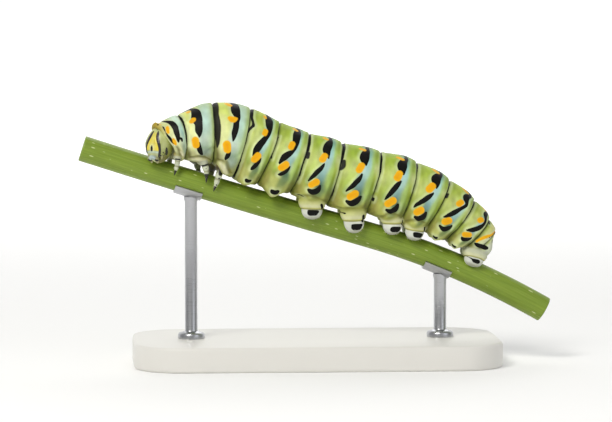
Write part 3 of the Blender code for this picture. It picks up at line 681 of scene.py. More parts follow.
# Shallow folds across the flank, each with its depth in mm
FLANK_FOLDS = [
    ((520,150,8, 530,138,10, 545,128,12, 560,129,10, 578,137,6), 0.18),
    ((622,150,8, 638,140,10, 652,135,12, 668,140,10, 680,152,6), 0.18),
    ((726,150,8, 736,142,10, 748,127,12, 762,124,10, 784,130,6), 0.16),
    ((810,140,8, 820,131,10, 837,122,12, 855,121,10, 876,124,6), 0.16),
    ((310,108,12, 330,116,14, 355,124,14, 380,122,10), 0.07),
    ((410,110,12, 430,120,14, 455,128,14, 480,126,10), 0.07),
    ((118,141,8, 141,130,10, 165,133,10, 190,147,6), 0.18),
    ((166,128,6, 172,116,8, 194,106,6), 0.12),
    ((216,130,8, 248,121,12, 264,130,12, 283,144,6), 0.19),
    ((257,117,6, 278,106,8, 291,97,6), 0.12),
]
flank_relief, crease = 0, np.full(plain_skin.shape[:2], CLEAR)
for numbers, depth in FLANK_FOLDS:
    near = np.maximum(body_field([numbers]), 0)
    flank_relief = flank_relief - depth * hump(near, 0, 0.16)
    if depth >= 0.15:  # deep enough to hold shade
        crease = np.minimum(crease, near)
normals = unit(np.cross(np.gradient(skin_rows, axis=1), np.gradient(skin_rows, axis=0)))
outwards = np.sign(np.einsum("ijk,ijk->", normals, skin_rows - skin_rows.mean(1, keepdims=True)))
# a slight unevenness, as of any living skin: a few crossed waves, and fine streaks round the rings
streaks = np.random.default_rng(21).normal(size=(37, len(rows)))
streaks = (streaks[:, :-2] + 1.4 * streaks[:, 1:-1] + streaks[:, 2:])[:, [0, *range(len(rows) - 2), -1]] / 2
streaks[-1] = streaks[0]
streaks = through(streaks, turns[0] * 36 / (2 * np.pi)).T * np.clip((12.7 - row_station) / 0.5, 0, 1)
uneven = 0
for wave in np.random.default_rng(5).uniform(-1, 1, (9, 4)):
    phase = row_station * 5 * wave[0] + np.round(7 * wave[1]) * turns + 6 * wave[2] + 6 * wave[3]
    uneven = uneven + np.sin(phase)
lift = outwards * (flank_relief + 0.009 * uneven + 0.011 * streaks) * MM
skin_rows = skin_rows + lift[..., None] * normals

# The ground colour, worked out over the same grid.  Every ring is green on the back, paler on the flank
# and yellowish below, with a mint band behind its black bar.
degrees = np.degrees(np.minimum(turns, 2 * np.pi - turns)) + 0 * row_station
share = row_station - np.minimum(np.floor(row_station), LAST_RING) + 0 * turns
station = row_station + 0 * turns
# the greens of the back, the flank, the belly and each ring's rear, one to a ring
GREENS = (
    "#c4ca80 #ced876 #c3d066 #abbe4a #a1b93e #9cb83a #9eb93c #a1ba3f #a4bb44 #aabd4a #b6c460 #cfd084 #bdc0ae",
    "#d3d6a4 #dfe4a0 #d8e09a #c0ce72 #b8ca68 #b4c862 #b3c85f #b4c760 #b6c864 #b9c96c #c2cd80 #d3d6a0 #c9ccbc",
    "#bfbe84 #c9c68e #bcbd76 #b4b96a #b2b76a #b0b55e #b0b55c #b0b55c #b2b862 #b8be6e #c2c784 #cccea2 #c4c7b7",
    "#bfd6bc #c0d3a2 #b4c98e #adc676 #a8c36c #a6c268 #a6c268 #a8c46c #aac570 #b0c97a #bccd8c #cfd3a4 #c9ccb9",
)


def run_together(colours, stops, at):
    """A list of hex colours, one to a stop, run into each other."""
    table = np.array([linear(colour) for colour in colours.split()])
    return np.stack([np.interp(at, stops, table[:, k]) for k in range(3)], -1)


def over(ground, *layers):
    """Colours laid over the ground in turn, each by a weight from nothing to one."""
    for colour, weight in layers:
        colour = linear(colour) if isinstance(colour, str) else colour
        ground = ground + (colour - ground) * np.clip(weight, 0, 1)[..., None]
    return ground


def rise(values, low, high):
    """A smooth step from nothing at the low value to one at the high value."""
    part = np.clip((values - low) / (high - low), 0, 1)
    return part * part * (3 - 2 * part)


back_ground, flank_ground, belly_ground, rear_ground = (
    run_together(colours, np.arange(13) + 0.5, station)
    for colours in GREENS
)
front_edge = run_together(
    "#93a842 #a0b44a #bcc76c #c2ce7c #9dad4c #9ba24e #a09c50", [12, 45, 62, 76, 92, 106, 125], degrees
)
rear_edge = run_together(
    "#88a03c #98ae4a #bfc988 #a4b44e #80942c #687a36 #6c7038", [30, 46, 60, 75, 90, 106, 130], degrees
)
pale_mint = run_together(
    "#aac3a2 #b9d6c4 #badace #b0cdc0 #c0d3c4 #8ea791 #a9bfb4 #8c9c84",
    [15, 35, 58, 76, 90, 105, 118, 132], degrees,
)
deep_mint = run_together(
    "#7a9876 #80b2a0 #a4d0d0 #aecfc6 #8bb2b0 #476b5a #7c8f58", [12, 35, 52, 74, 88, 104, 124], degrees
)
abdomen = rise(station, 2.92, 3.04)
# mint: a band that starts under the black bar's rear edge and fades towards the fold; on the thorax it is
# paler and fills the rear of the ring
mint_stops = [0, 25, 45, 62, 75, 88, 100, 115, 130]
mint_edge = np.interp(degrees, mint_stops, [0.66, 0.70, 0.66, 0.66, 0.63, 0.57, 0.58, 0.66, 0.62])
mint_width = np.interp(degrees, [0, 60, 90, 120], [0.10, 0.11, 0.16, 0.15])
mint_width = mint_width + 0.24 * (1 - rise(station, 2.85, 3.1))
mint = rise(share, mint_edge - 0.22, mint_edge - 0.08)
mint = mint * (1 - rise(share, mint_edge + 0.03, mint_edge + 0.03 + mint_width))
mint = mint * (1 - rise(degrees, 124, 140)) * rise(station, 0.35, 0.9) * (1 - rise(station, 10.9, 11.2))
# shade and olive where the thorax is tucked in under the flank
tucks = body_field([
    (0,93,6, 3,106,12, 10,120,14),
    (102,106,6, 108,122,14, 114,138,16),
    (202,100,8, 210,114,17, 212,126,19, 204,142,22),
])
# cream where the thorax bulges out over the root of each leg
pouches = body_field([
    (24,113,12, 34,119,16),
    (128,146,18, 146,142,28, 168,146,24),
    (230,133,22, 248,135,32, 262,143,22),
])
# how far the next fold is, in mm, and where the folds take painted shade
fold_distance = np.minimum(share, 1 - share) * RING_LENGTHS[np.minimum(station.astype(int), LAST_RING)]
in_fold = (station > 0.5) * (station < LAST_RING + 0.3) * (1 - rise(station, 11.9, 12.1) * 0.5)
ground = over(
    back_ground,
    (flank_ground, rise(degrees, 40, 78)),
    (belly_ground, rise(degrees, 96, 124)),
    # the front and rear edge of each ring of the abdomen, and between them a painted highlight: a pale band
    # on the upper flank
    (front_edge, abdomen * (1 - rise(share, 0.14, 0.26)) * 0.9),
    ("#c8d288", abdomen * hump(share, 0.32, 0.12) * hump(degrees, 64, 17) * 0.7),
    (rear_ground, rise(share, 0.60, 0.80) * (1 - rise(degrees, 110, 135))),
    (rear_edge, abdomen * rise(share, 0.78, 0.87) * (1 - rise(station, 10.9, 11.1)) * 0.92),
    (pale_mint + (deep_mint - pale_mint) * abdomen[..., None], mint * 0.95),
    # pale and teal at the rear of the first ring, painted shade in grey low on its flank, and green before
    # the next two folds
    ("#d6ecdc", hump(station, 0.80, 0.17) * (1 - rise(degrees, 25, 45)) * 0.7),
    ("#7fa8a0", hump(station, 0.83, 0.13) * hump(degrees, 66, 22) * 0.8),
    ("#869678", hump(station, 0.70, 0.22) * hump(degrees, 97, 11) * 0.8),
    ("#9cae6c", rise(share, 0.82, 0.92) * hump(station, 1.95, 0.35) * 0.8),
    ("#9cb474", rise(share, 0.80, 0.90) * hump(station, 2.95, 0.3) * (1 - rise(degrees, 95, 105)) * 0.8),
    # cream beside the marks of the thorax, painted shade in olive low on the thorax's flank, darker green
    # low on the middle of each ring of the abdomen, and a pale edge round every black bar
    ("#dcdfa0", hump(share, 0.2, 0.18) * (1 - rise(station, 2.9, 3.1)) * rise(degrees, 30, 60) * 0.6),
    ("#6f7440", (1 - abdomen) * rise(degrees, 98, 118) * 0.30),
    ("#949a42", abdomen * hump(share, 0.30, 0.12) * hump(degrees, 108, 9) * 0.7),
    ("#dbe6bc", (1 - rise(black, 0.10, 0.45)) * 0.45 * (1 - mint)),
    # the yellow roll behind the head, and a green patch before each lowest spot
    ("#ac9216", hump(station, 0.0, 0.14) * hump(degrees, 0, 42) * 0.95),
    ("#7ea63c", hump(share, 0.24, 0.06) * hump(degrees, 103, 9) * 0.45 * (station > 2.9) * (station < 10)),
    ("#5c5624", (1 - rise(tucks, -0.15, 0.36)) * 0.80),
    ("#dcdab4", (1 - rise(pouches, -0.12, 0.34)) * 0.85),
    # painted shade in the folds: olive in each, wider low on the flank, olive along the deeper folds across
    # the flank, and a thin dark line at the bottom of each
    ("#5c6120", hump(fold_distance, 0, 0.48) * rise(degrees, 96, 128) * in_fold * 0.66),
    ("#76852c", hump(fold_distance, 0, 0.20) * in_fold * 0.55),
    ("#6c6a30", hump(crease, 0, 0.11) * 0.65),
    ("#20240a", hump(fold_distance, 0, 0.075) * in_fold * 0.92),
) * (1 + 0.055 * streaks)[..., None]

# The prolegs: soft stumps, grown out of the skin.  Rows are share of the way down, half length along the
# stem and half thickness: a cuff that narrows downwards, a seam, and the rounded foot.
PROLEG_PROFILE = [
    (0.00, 1.25, 0.75), (0.20, 1.48, 1.02), (0.36, 1.62, 1.20), (0.48, 1.60, 1.21), (0.58, 1.48, 1.15),
    (0.635, 1.38, 1.07), (0.66, 1.21, 0.93), (0.70, 1.23, 0.95), (0.79, 1.18, 0.91), (0.88, 1.00, 0.77),
    (0.955, 0.68, 0.52), (1.00, 0.30, 0.22),
]
# root and sole of each left proleg in mm, its size, and the strokes of its marks: hundredths of the way
# down, degrees from the tail side outwards, and half the width in hundredths of a mm
PROLEGS = {
    "proleg_3": ((-0.55, -1.70, 20.90), (-0.68, -2.30, 17.40), 1.03, [
        (80,104,38, 80,74,36),
        (74,112,20, 74,60,20),
        (52,50,21, 62,38,21),
    ]),
    "proleg_4": ((4.25, -1.70, 20.00), (4.45, -2.36, 15.74), 1.00, [
        (85,94,42, 85,60,40),
        (80,104,20, 80,46,20),
        (55,44,23, 66,39,24),
        (39,180,8, 46,132,11),
    ]),
    "proleg_5": ((9.00, -1.70, 19.40), (9.02, -2.16, 15.50), 0.97, [
        (85,90,40, 85,56,38),
        (80,98,18, 80,42,18),
        (56,30,18, 68,26,16),
        (42,175,8, 44,128,10),
    ]),
    "proleg_6": ((12.05, -1.65, 18.30), (11.55, -2.02, 14.80), 0.93, [
        (81,84,36, 82,46,34),
        (77,94,20, 78,34,16),
        (52,42,15, 61,36,17),
        (34,170,5, 37,110,6),
    ]),
    "proleg_anal": ((19.30, -0.62, 14.05), (18.70, -1.72, 11.62), 0.97, [
        (80,106,12, 84,92,26, 84,66,28),
        (68,152,4, 72,130,6, 78,110,10),
    ]),
}
foot_turns = ring_turns(40)
foot_shares = through(PROLEG_PROFILE, np.linspace(0, 11, 56))


def foot_at(down):
    """Rows of the proleg's profile at shares of the way down."""
    return np.stack([np.interp(down, foot_shares[:, 0], foot_shares[:, k]) for k in range(3)], -1)


def proleg_surface(name, side, profile, turn):
    """Points of a proleg: a middle line from root to sole, and elliptical sections whose long axis lies
    along the stem.  The cuff hangs a little lower on the outer side.  Points inside the stem are pressed
    out to just over its skin."""
    root, sole, size, _ = PROLEGS[name]
    root, sole = (np.array(place) * [1, side, 1] for place in (root, sole))
    down = unit(sole - root)
    across = unit(np.cross(down, stem_way(np.array(sole[0] * MM))))
    along = np.cross(across, down)
    outer = across * np.sign(across[1] * -side)
    hang = 0.05 * (np.sin(turn) - 0.4) * hump(profile[..., 0], 0.64, 0.16)
    points = MM * (
        root
        + (profile[..., :1] + hang[..., None]) * (sole - root)
        + size * (profile[..., 1] * np.cos(turn))[..., None] * along
        + size * (profile[..., 2] * np.sin(turn))[..., None] * outer
    )
    off = points - np.stack([points[..., 0], 0 * points[..., 0], stem_level(points[..., 0])], -1)
    way = stem_way(points[..., 0])
    off = off - (off * way).sum(-1, keepdims=True) * way
    radius = np.linalg.norm(off, axis=-1, keepdims=True)
    return points + off / radius * np.maximum(STEM_RADIUS + 0.015 * MM - radius, 0)


def marks_of(*fields):
    """Signed distances in mm packed into colours: half at a mark's edge, a quarter less for each mm in."""
    return np.clip(0.5 + 0.25 * np.stack(fields, -1), 0, 1)


def ragged_marks(add, noise, spread, channels):
    """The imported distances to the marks, by channel, moved to and fro by a noise for ragged edges."""
    packed = add("SeparateColor", {"Color": add("Attribute", attribute_name="marks")})
    ragged = add("MapRange", {"Value": noise, "To Min": -spread, "To Max": spread})
    return {
        channel: add("Math", {0: packed.node.outputs[channel], 1: ragged}, operation="ADD")
        for channel in channels
    }


def mottled_ground(add, noise, dark, light):
    """The painted ground, darker and lighter by a noise."""
    brightness = add(
        "MapRange", {"Value": noise, "From Min": 0.3, "From Max": 0.7, "To Min": dark, "To Max": light}
    )
    ground = add("Attribute", attribute_name="ground")
    return add("VectorMath", {0: ground, "Scale": brightness}, operation="SCALE")


def add_pigment(add, colour, distance, start, end, strength, outer, inner, core):
    """A mark over the colour where its packed distance falls from the start to the end value.  It runs
    from its outer to its inner colour by the core's share."""
    inside = add(
        "MapRange", {"Value": distance, "From Min": start, "From Max": end, "To Max": strength},
        interpolation_type="SMOOTHSTEP",
    )
    pigment = {"Factor": core, "A": paint(outer), "B": paint(inner)}
    pigment = add("Mix", pigment, **OF_COLOURS)
    return add("Mix", {"Factor": inside, "A": colour, "B": pigment}, **OF_COLOURS)


# Living cuticle: leathery and satin, with a fine grain of 0.1 mm that breaks up its shine, and light
# carried 0.3 mm inside.  The marks are pigment in it, the black bars with edges 0.04 mm soft, the orange
# spots 0.12 mm and the smoky bands 0.16 mm.
cuticle, shader, add = new_finish("soft_cuticle", {
    "IOR": 1.40, "Specular IOR Level": 0.22, "Subsurface Weight": 0.14, "Subsurface Radius": (0.9, 1.0, 0.45),
    "Subsurface Scale": 0.30 * MM,
})
place = add("TexCoord", out="Object")
blotch = add("TexNoise", {"Vector": place, "Scale": 650.0, "Detail": 4.0, "Roughness": 0.6})
grain = add("TexNoise", {"Vector": place, "Scale": 5200.0, "Detail": 3.0})
uneven_edge = add("TexNoise", {"Vector": place, "Scale": 1500.0, "Detail": 1.0, "Roughness": 0.5})
distances = ragged_marks(add, uneven_edge, 0.009, ("Red", "Green", "Blue"))
colour = mottled_ground(add, blotch, 0.88, 1.08)
for channel, inner, outer, soft, strength in (
    ("Blue", "#0d0c0b", "#171512", 0.028, 0.98),
    ("Red", "#060604", "#0a0a07", 0.007, 1.0),
    ("Green", "#e39406", "#edb216", 0.022, 1.0),
):
    depth = add("MapRange", {"Value": distances[channel], "From Min": 0.5, "From Max": 0.40})
    core = add("Math", {0: depth, 1: blotch}, operation="MULTIPLY")
    colour = add_pigment(
        add, colour, distances[channel], 0.5 + soft, 0.5 - soft * 0.4, strength, outer, inner, core
    )
wrinkle = add("TexNoise", {"Vector": place, "Scale": 1500.0, "Detail": 3.0, "Roughness": 0.55})
wrinkled = add("Bump", {"Height": wrinkle, "Distance": 0.10 * MM, "Strength": 0.35})
feed(shader, {
    "Base Color": colour,
    "Roughness": add("MapRange", {"Value": grain, "To Min": 0.40, "To Max": 0.60}),
    "Normal": add("Bump", {"Height": grain, "Distance": 0.02 * MM, "Strength": 0.4, "Normal": wrinkled}),
})

values = {"ground": ground, "marks": marks_of(black, orange, smoke), "stump": np.zeros(black.shape + (1,))}
skin = closed_tube("skin", skin_rows, cuticle, values)
stumps = bpy.data.collections.new("stumps")
bpy.context.scene.collection.children.link(stumps)
for name in PROLEGS:
    at_tail = "anal" in name
    for side_name, side in SIDES:
        grid = proleg_surface(name, side, foot_shares[:, None, :], foot_turns[None, :])
        marks = np.full(grid.shape[:2], CLEAR)
        for numbers in PROLEGS[name][3]:
            share_down, degrees_round, halves = stroke(numbers).T
            places = proleg_surface(name, side, foot_at(share_down), np.radians(degrees_round))
            marks = np.minimum(marks, stroke_field(grid, places, halves))
        down = foot_shares[:, None, 0] + 0 * marks
        foot_ground = over(
            np.full(grid.shape, linear("#c2c6aa" if at_tail else "#b0b45e")),
            ("#c9cdb0" if at_tail else "#c6c988", rise(down, 0.34, 0.50)),
            ("#d6d6ac", hump(down, 0.57, 0.06) * 0.8),
            ("#c3bf58", hump(down, 0.637, 0.016) * 0.7),
            ("#6d6a36", hump(down, 0.660, 0.012) * 0.75),
            ("#d3d6cb", rise(down, 0.668, 0.69)),
            ("#a5a792", rise(down, 0.90, 1.0) * 0.8),
        )
        clear = np.full_like(marks, CLEAR)
        values = {
            "ground": foot_ground, "marks": marks_of(marks, clear, clear),
            "stump": np.ones(marks.shape + (1,)),
        }
        stump = closed_tube(f"{name}_{side_name}", grid, cuticle, values)
        bpy.context.scene.collection.objects.unlink(stump)
        stumps.objects.link(stump)
union = skin.modifiers.new("grown together", "BOOLEAN")
union.operation, union.solver = "UNION", "MANIFOLD"
union.operand_type, union.collection = "COLLECTION", stumps
with bpy.context.temp_override(object=skin, active_object=skin):
    bpy.ops.object.modifier_apply(modifier=union.name)
for stump in list(stumps.objects):
    bpy.data.objects.remove(stump)
bpy.data.collections.remove(stumps)

# Where a stump leaves the body the skin and its ground colour run on smoothly: corners near the join take
# the mean of their neighbours, by a weight that fades away from it.
mesh = skin.data
places, ends = read_out(mesh.vertices, "co", 3), read_out(mesh.edges, "vertices", 2, np.int32)
corner = read_out(mesh.loops, "vertex_index", 1, np.int32)[:, 0]
of_stump = read_out(mesh.attributes["stump"].data, "color", 4, np.float32)[:, 0]
least, most = np.ones(len(places)), np.zeros(len(places))
np.minimum.at(least, corner, of_stump)
np.maximum.at(most, corner, of_stump)
weight = ((least < 0.5) & (most > 0.5)).astype(float)
neighbours = np.bincount(ends.ravel(), minlength=len(places))[:, None]
for fade in (0.95, 0.85, 0.7, 0.5, 0.3, 0.15):
    spread = weight.copy()
    np.maximum.at(spread, ends[:, 0], weight[ends[:, 1]] * fade)
    np.maximum.at(spread, ends[:, 1], weight[ends[:, 0]] * fade)
    weight = spread
painted = read_out(mesh.attributes["ground"].data, "color", 4, np.float32)
meeting = np.bincount(corner, minlength=len(places))
hues = np.stack([np.bincount(corner, painted[:, k], len(places)) / meeting for k in range(3)], -1)
both = np.hstack([places, hues])
for _ in range(10):
    total = np.zeros_like(both)
    np.add.at(total, ends[:, 0], both[ends[:, 1]])
    np.add.at(total, ends[:, 1], both[ends[:, 0]])
    both = both + 0.6 * weight[:, None] * (total / neighbours - both)
mesh.vertices.foreach_set("co", both[:, :3].ravel())
blend = weight[corner] > 0
painted[blend, :3] = both[corner[blend], 3:]
mesh.attributes["ground"].data.foreach_set("color", painted.ravel())
mesh.attributes.remove(mesh.attributes["stump"])
mesh.shade_smooth()
mesh.update()
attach(skin, "root")
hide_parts(*[f"thorax_{n}" for n in (1, 2, 3)], *[f"abdomen_{n:02d}" for n in range(1, 11)])
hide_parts(*[f"{name}_{side_name}" for name in PROLEGS for side_name, _ in SIDES])

# The head

# The head capsule: one hard shell of tanned cuticle in two rounded halves, with a lip, two jaws, two
# short feelers and six small eyes on each cheek.
HEAD_CENTRE = np.array([-18.80, -1.70, 26.30])  # mm
HEAD_YAW, HEAD_PITCH = np.radians(53), np.radians(-15)
HEAD_DEPTH, HEAD_WIDTH, HEAD_HEIGHT = 1.50, 1.72, 2.16  # half sizes in mm
JAW_TAPER, CROWN_TAPER = 0.20, 0.18
SUTURE_DEPTH = 0.045  # mm
EYE_TURNS = (-150, -105, -60, -15, 30, 110)  # degrees round the ring of eyes on a cheek
EYE_RADIUS = 0.09  # mm

pitch_sine, pitch_cosine, yaw_sine, yaw_cosine = (
    wave(angle) for angle in (HEAD_PITCH, HEAD_YAW) for wave in (np.sin, np.cos)
)
pitched = np.array([[pitch_cosine, 0, -pitch_sine], [0, 1, 0], [pitch_sine, 0, pitch_cosine]])
yawed = np.array([[yaw_cosine, -yaw_sine, 0], [yaw_sine, yaw_cosine, 0], [0, 0, 1]])
head_axes = yawed @ pitched @ np.diag([-1.0, -1.0, 1.0])  # columns: forwards, to its left, up


def in_body(points):
    """Points from the head's own frame in mm to the model's frame in metres."""
    return (points @ head_axes.T + HEAD_CENTRE) * MM


def ways_out(azimuth, elevation):
    """Unit ways by turns to the left and up, in radians."""
    level = np.cos(elevation)
    return np.stack([level * np.cos(azimuth), level * np.sin(azimuth), np.sin(elevation) + 0 * azimuth], -1)


def head_surface(azimuth, elevation, grow=0.0):
    """Points of the capsule in its own frame, in mm, by degrees to its left and up: a superellipsoid,
    narrower at the mouth and the crown, cut back under the cheeks, with a notch along the middle of the
    crown."""
    azimuth, elevation = np.broadcast_arrays(np.radians(azimuth), np.radians(elevation))
    way = ways_out(azimuth, elevation)
    low, high = np.maximum(-way[..., 2], 0), np.maximum(way[..., 2], 0)
    width = HEAD_WIDTH * (1 - JAW_TAPER * low - CROWN_TAPER * high)
    halves = np.stack([HEAD_DEPTH + 0 * width, width, HEAD_HEIGHT + 0 * width], -1)
    radius = ((np.abs(way) / halves) ** 2.25).sum(-1) ** (-1 / 2.25)
    side = np.degrees(np.arccos(np.cos(azimuth)))
    radius = radius * (1 - 0.34 * hump(side, 84, 32) * hump(np.degrees(elevation), -74, 24))
    points = way * radius[..., None]
    crown = np.clip((points[..., 2] / HEAD_HEIGHT - 0.1) / 0.9, 0, 1)
    notch = 0.12 * crown * hump(points[..., 1], 0, 0.30)
    return points * (1 - notch)[..., None] + way * np.asarray(grow)[..., None]


def head_field(points, strokes):
    """Least distance in mm to strokes drawn alike on both sides of the head.  Each knot is three whole
    numbers: degrees to the left, degrees up, and half the width in thousandths of a mm."""
    field = np.full(points.shape[:-1], CLEAR)
    for numbers in strokes:
        azimuth, elevation, halves = stroke(numbers, (1, 1, 1000), 5).T
        for _, side in SIDES:
            places = head_surface(side * azimuth, elevation) * MM
            field = np.minimum(field, stroke_field(points * MM, places, halves))
    return field


head_up = np.linspace(-88, 88, 110)[:, None]
head_round = (np.arange(140) * 360 / 140)[None, :]
capsule = head_surface(head_round, head_up)
STRIPES = [
    (16,50,90, 18,44,150, 20,33,200, 23,20,210, 34,-7,190, 40,-26,175, 43,-40,170, 46,-56,170, 50,-68,190,
     50,-80,240),
]
HEAD_SPOTS = [
    (0,-15,70, 0,-25,170, 0,-34,150),
    (69,-16,110, 77,-29,200, 90,-42,160),
]
HEAD_SUTURES = [
    (8,58,20, 10,46,20, 15,24,20, 25,-4,20, 32,-24,20, 36,-38,20),
    (0,-38,20, 20,-40,20, 35,-40,20),
    (0,-55,20, 22,-56,20, 38,-52,20),
]
stripes, head_spots, sutures = (head_field(capsule, marks) for marks in (STRIPES, HEAD_SPOTS, HEAD_SUTURES))
capsule = capsule - (SUTURE_DEPTH * hump(np.maximum(sutures, 0), 0, 0.07))[..., None] * unit(capsule)
side_degrees = np.abs((head_round + 180) % 360 - 180) + 0 * head_up
up_degrees = head_up + 0 * head_round
# the face between the stripes: a yellow triangle over a pale lip, from a greenish shell
inner = np.interp(up_degrees, [-70, -54, -38, -19, 0, 23, 46, 58], [50, 46, 42, 38, 31, 22, 17, 14])
between = (1 - rise(side_degrees - inner, -6, 0)) * (1 - rise(up_degrees, 34, 60))
shell = over(
    np.full(capsule.shape, linear("#9da457")),
    ("#868b3a", rise(side_degrees, 62, 92)),
    # a painted highlight: a paler patch on the front of each cheek
    ("#bcc38e", hump(side_degrees, 54, 15) * hump(up_degrees, -6, 28) * 0.6),
    ("#c4c988", rise(up_degrees, 2, 34) * 0.75),
    ("#c8d294", rise(up_degrees, 38, 58)),
    # painted shade: brown-olive low on each side of the head
    ("#6f6a34", rise(side_degrees, 80, 100) * (1 - rise(up_degrees, -52, -30)) * 0.7),
    ("#e4d03e", between * rise(up_degrees, -38, -30)),
    ("#d9dcae", between * hump(side_degrees, 0, 15) * hump(up_degrees, -21, 16)),
    ("#d8d67c", between * hump(side_degrees, 0, 9) * hump(up_degrees, 26, 26) * 0.8),
    ("#bccbb8", between * hump(up_degrees, -40, 5)),
    ("#b8bd8a", between * (1 - rise(up_degrees, -47, -43))),
)
# Tanned cuticle: hard, smooth and shinier than the skin, its stripes violet-grey with black edges.
shell_finish, shader, add = new_finish("head_shell", {
    "IOR": 1.5, "Subsurface Weight": 0.12, "Subsurface Radius": (0.8, 0.8, 0.4), "Subsurface Scale": 0.3 * MM,
})
place = add("TexCoord", out="Object")
blotch = add("TexNoise", {"Vector": place, "Scale": 1500.0, "Detail": 3.0})
distances = ragged_marks(add, blotch, 0.012, ("Red", "Green"))
colour = mottled_ground(add, blotch, 0.86, 1.08)
for channel, outer, inner, depth in (
    ("Red", "#100e0d", "#2e2833", 0.475),
    ("Green", "#100f0b", "#1a1916", 0.45),
):
    core = add(
        "MapRange", {"Value": distances[channel], "From Min": depth + 0.015, "From Max": depth - 0.01},
        interpolation_type="SMOOTHSTEP",
    )
    colour = add_pigment(add, colour, distances[channel], 0.508, 0.496, 1.0, outer, inner, core)
pits = add("TexNoise", {"Vector": place, "Scale": 7000.0, "Detail": 2.0})
feed(shader, {
    "Base Color": colour,
    "Roughness": add("MapRange", {"Value": pits, "To Min": 0.24, "To Max": 0.42}),
    "Normal": add("Bump", {"Height": pits, "Distance": 0.012 * MM, "Strength": 0.4}),
})
marks = marks_of(stripes, head_spots, head_spots)
head = closed_tube("head_capsule", in_body(capsule), shell_finish, {"ground": shell, "marks": marks})
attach(head, "root")
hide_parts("head")


def blob(middle, halves, twist=0.0, power=2.2, sides=28, rows=18, notch=0.0):
    """A rounded lump in the head's frame: a superellipsoid of three half sizes, turned about the upright
    by a twist, with a notch worked into the middle of its lower edge."""
    way = ways_out(ring_turns(sides)[None, :], np.radians(np.linspace(-86, 86, rows))[:, None])
    points = way * ((np.abs(way) / np.array(halves)) ** power).sum(-1, keepdims=True) ** (-1 / power)
    points[..., 2] += notch * hump(points[..., 1], 0, 0.12) * np.clip(-points[..., 2] / halves[2], 0, 1)
    sine, cosine = np.sin(twist), np.cos(twist)
    return points @ np.array([[cosine, sine, 0], [-sine, cosine, 0], [0, 0, 1]]) + np.array(middle)


def plain_values(grid, colour, mark=CLEAR):
    """Attributes for a small piece of the head: one ground colour and one distance to black."""
    field = mark + np.zeros(grid.shape[:2])
    marks = marks_of(np.full(grid.shape[:2], CLEAR), field, field)
    return {"ground": np.full(grid.shape, linear(colour)), "marks": marks}


# The mouth: a notched lip, two jaws with dark tips and two palps.
mouth = [("upper_lip", blob((1.02, 0, -1.76), (0.28, 0.50, 0.30), notch=0.14), "#a9b8b4", CLEAR)]
for side_name, side in SIDES:
    jaw = blob((0.76, side * 0.48, -1.84), (0.30, 0.27, 0.30), twist=side * 0.5)
    palp = blob((0.42, side * 0.42, -2.00), (0.14, 0.14, 0.30))
    mouth.append((f"jaw_{side_name}", jaw, "#8f8f66", jaw[..., 2] + 1.97))
    mouth.append((f"palp_{side_name}", palp, "#b9b48a", CLEAR))
for name, grid, colour, mark in mouth:
    mouth_part = closed_tube(name, in_body(grid), shell_finish, plain_values(grid, colour, mark))
    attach(mouth_part, "root")

# The small eyes: clear domes of cuticle over dark pigment, polished like lacquer.
eye_gloss, shader, add = new_finish(
    "eye_lens", {"Roughness": 0.08, "IOR": 1.5, "Coat Weight": 1.0, "Coat Roughness": 0.03}
)
place = add("TexCoord", out="Object")
eye_noise = add("TexNoise", {"Vector": place, "Scale": 9000.0, "Detail": 2.0})
eye_colours = {"Factor": eye_noise, "A": paint("#0a0806"), "B": paint("#2c2016")}
feed(shader, {"Base Color": add("Mix", eye_colours, **OF_COLOURS)})
for side_name, side in SIDES:
    domes, faces, caps = [], [], []
    for turn in np.radians(EYE_TURNS):
        middle = head_surface(side * (65 + 12 * np.cos(turn)), -46 + 10 * np.sin(turn), -0.03)
        grid = np.arange(140).reshape(10, 14) + 140 * len(domes)
        domes.append(in_body(blob(middle, (EYE_RADIUS,) * 3, power=2.0, sides=14, rows=10)))
        faces.append(tube_quads(grid))
        caps += [grid[:1, ::-1], grid[-1:]]
    eyes = piece(f"eyes_{side_name}", domes, faces + caps, eye_gloss)
    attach(eyes, "root")

# The feelers: three short joints, each a little thinner, with a bristle at the end.  Rows are mm along from
# the root, and the radius there in mm.
FEELER_PROFILE = [
    (-0.20, 0.17), (0.0, 0.17), (0.10, 0.16), (0.13, 0.11), (0.16, 0.12), (0.30, 0.11), (0.33, 0.07),
    (0.36, 0.07), (0.46, 0.05), (0.49, 0.02), (0.66, 0.008),
]
feeler_at = through(FEELER_PROFILE, np.linspace(0, 10, 41))
for side_name, side in SIDES:
    root = head_surface(side * 66, -56)
    way = unit(root + np.array([0.2, 0, -0.6]))
    first = unit(np.cross(way, [0, 0, 1.0]))
    feeler = root + feeler_at[:, :1, None] * way
    feeler = feeler + ring_offsets(feeler_at[:, 1:], ring_turns(20), first, np.cross(way, first))
    values = plain_values(feeler, "#a9a878")
    feeler_piece = closed_tube(f"feeler_{side_name}", in_body(feeler), shell_finish, values)
    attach(feeler_piece, "root")
    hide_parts(f"antenna_{side_name}")

# The legs

# Six jointed legs under the thorax: short tubes of hard cuticle, swollen at the joints, each drawn out to
# one dark hooked claw.  Rows of the profile are share of the way down, and radius in mm.
LEG_PROFILE = [
    (0.0, 0.78), (0.14, 0.76), (0.25, 0.62), (0.33, 0.46), (0.37, 0.40), (0.43, 0.43), (0.51, 0.40),
    (0.57, 0.31), (0.61, 0.30), (0.66, 0.33), (0.73, 0.28), (0.77, 0.20), (0.83, 0.19), (0.89, 0.14),
    (0.95, 0.08), (1.0, 0.025),
]
RIGHT_LEGS_AHEAD = 0.8  # mm that the right legs stand further forward
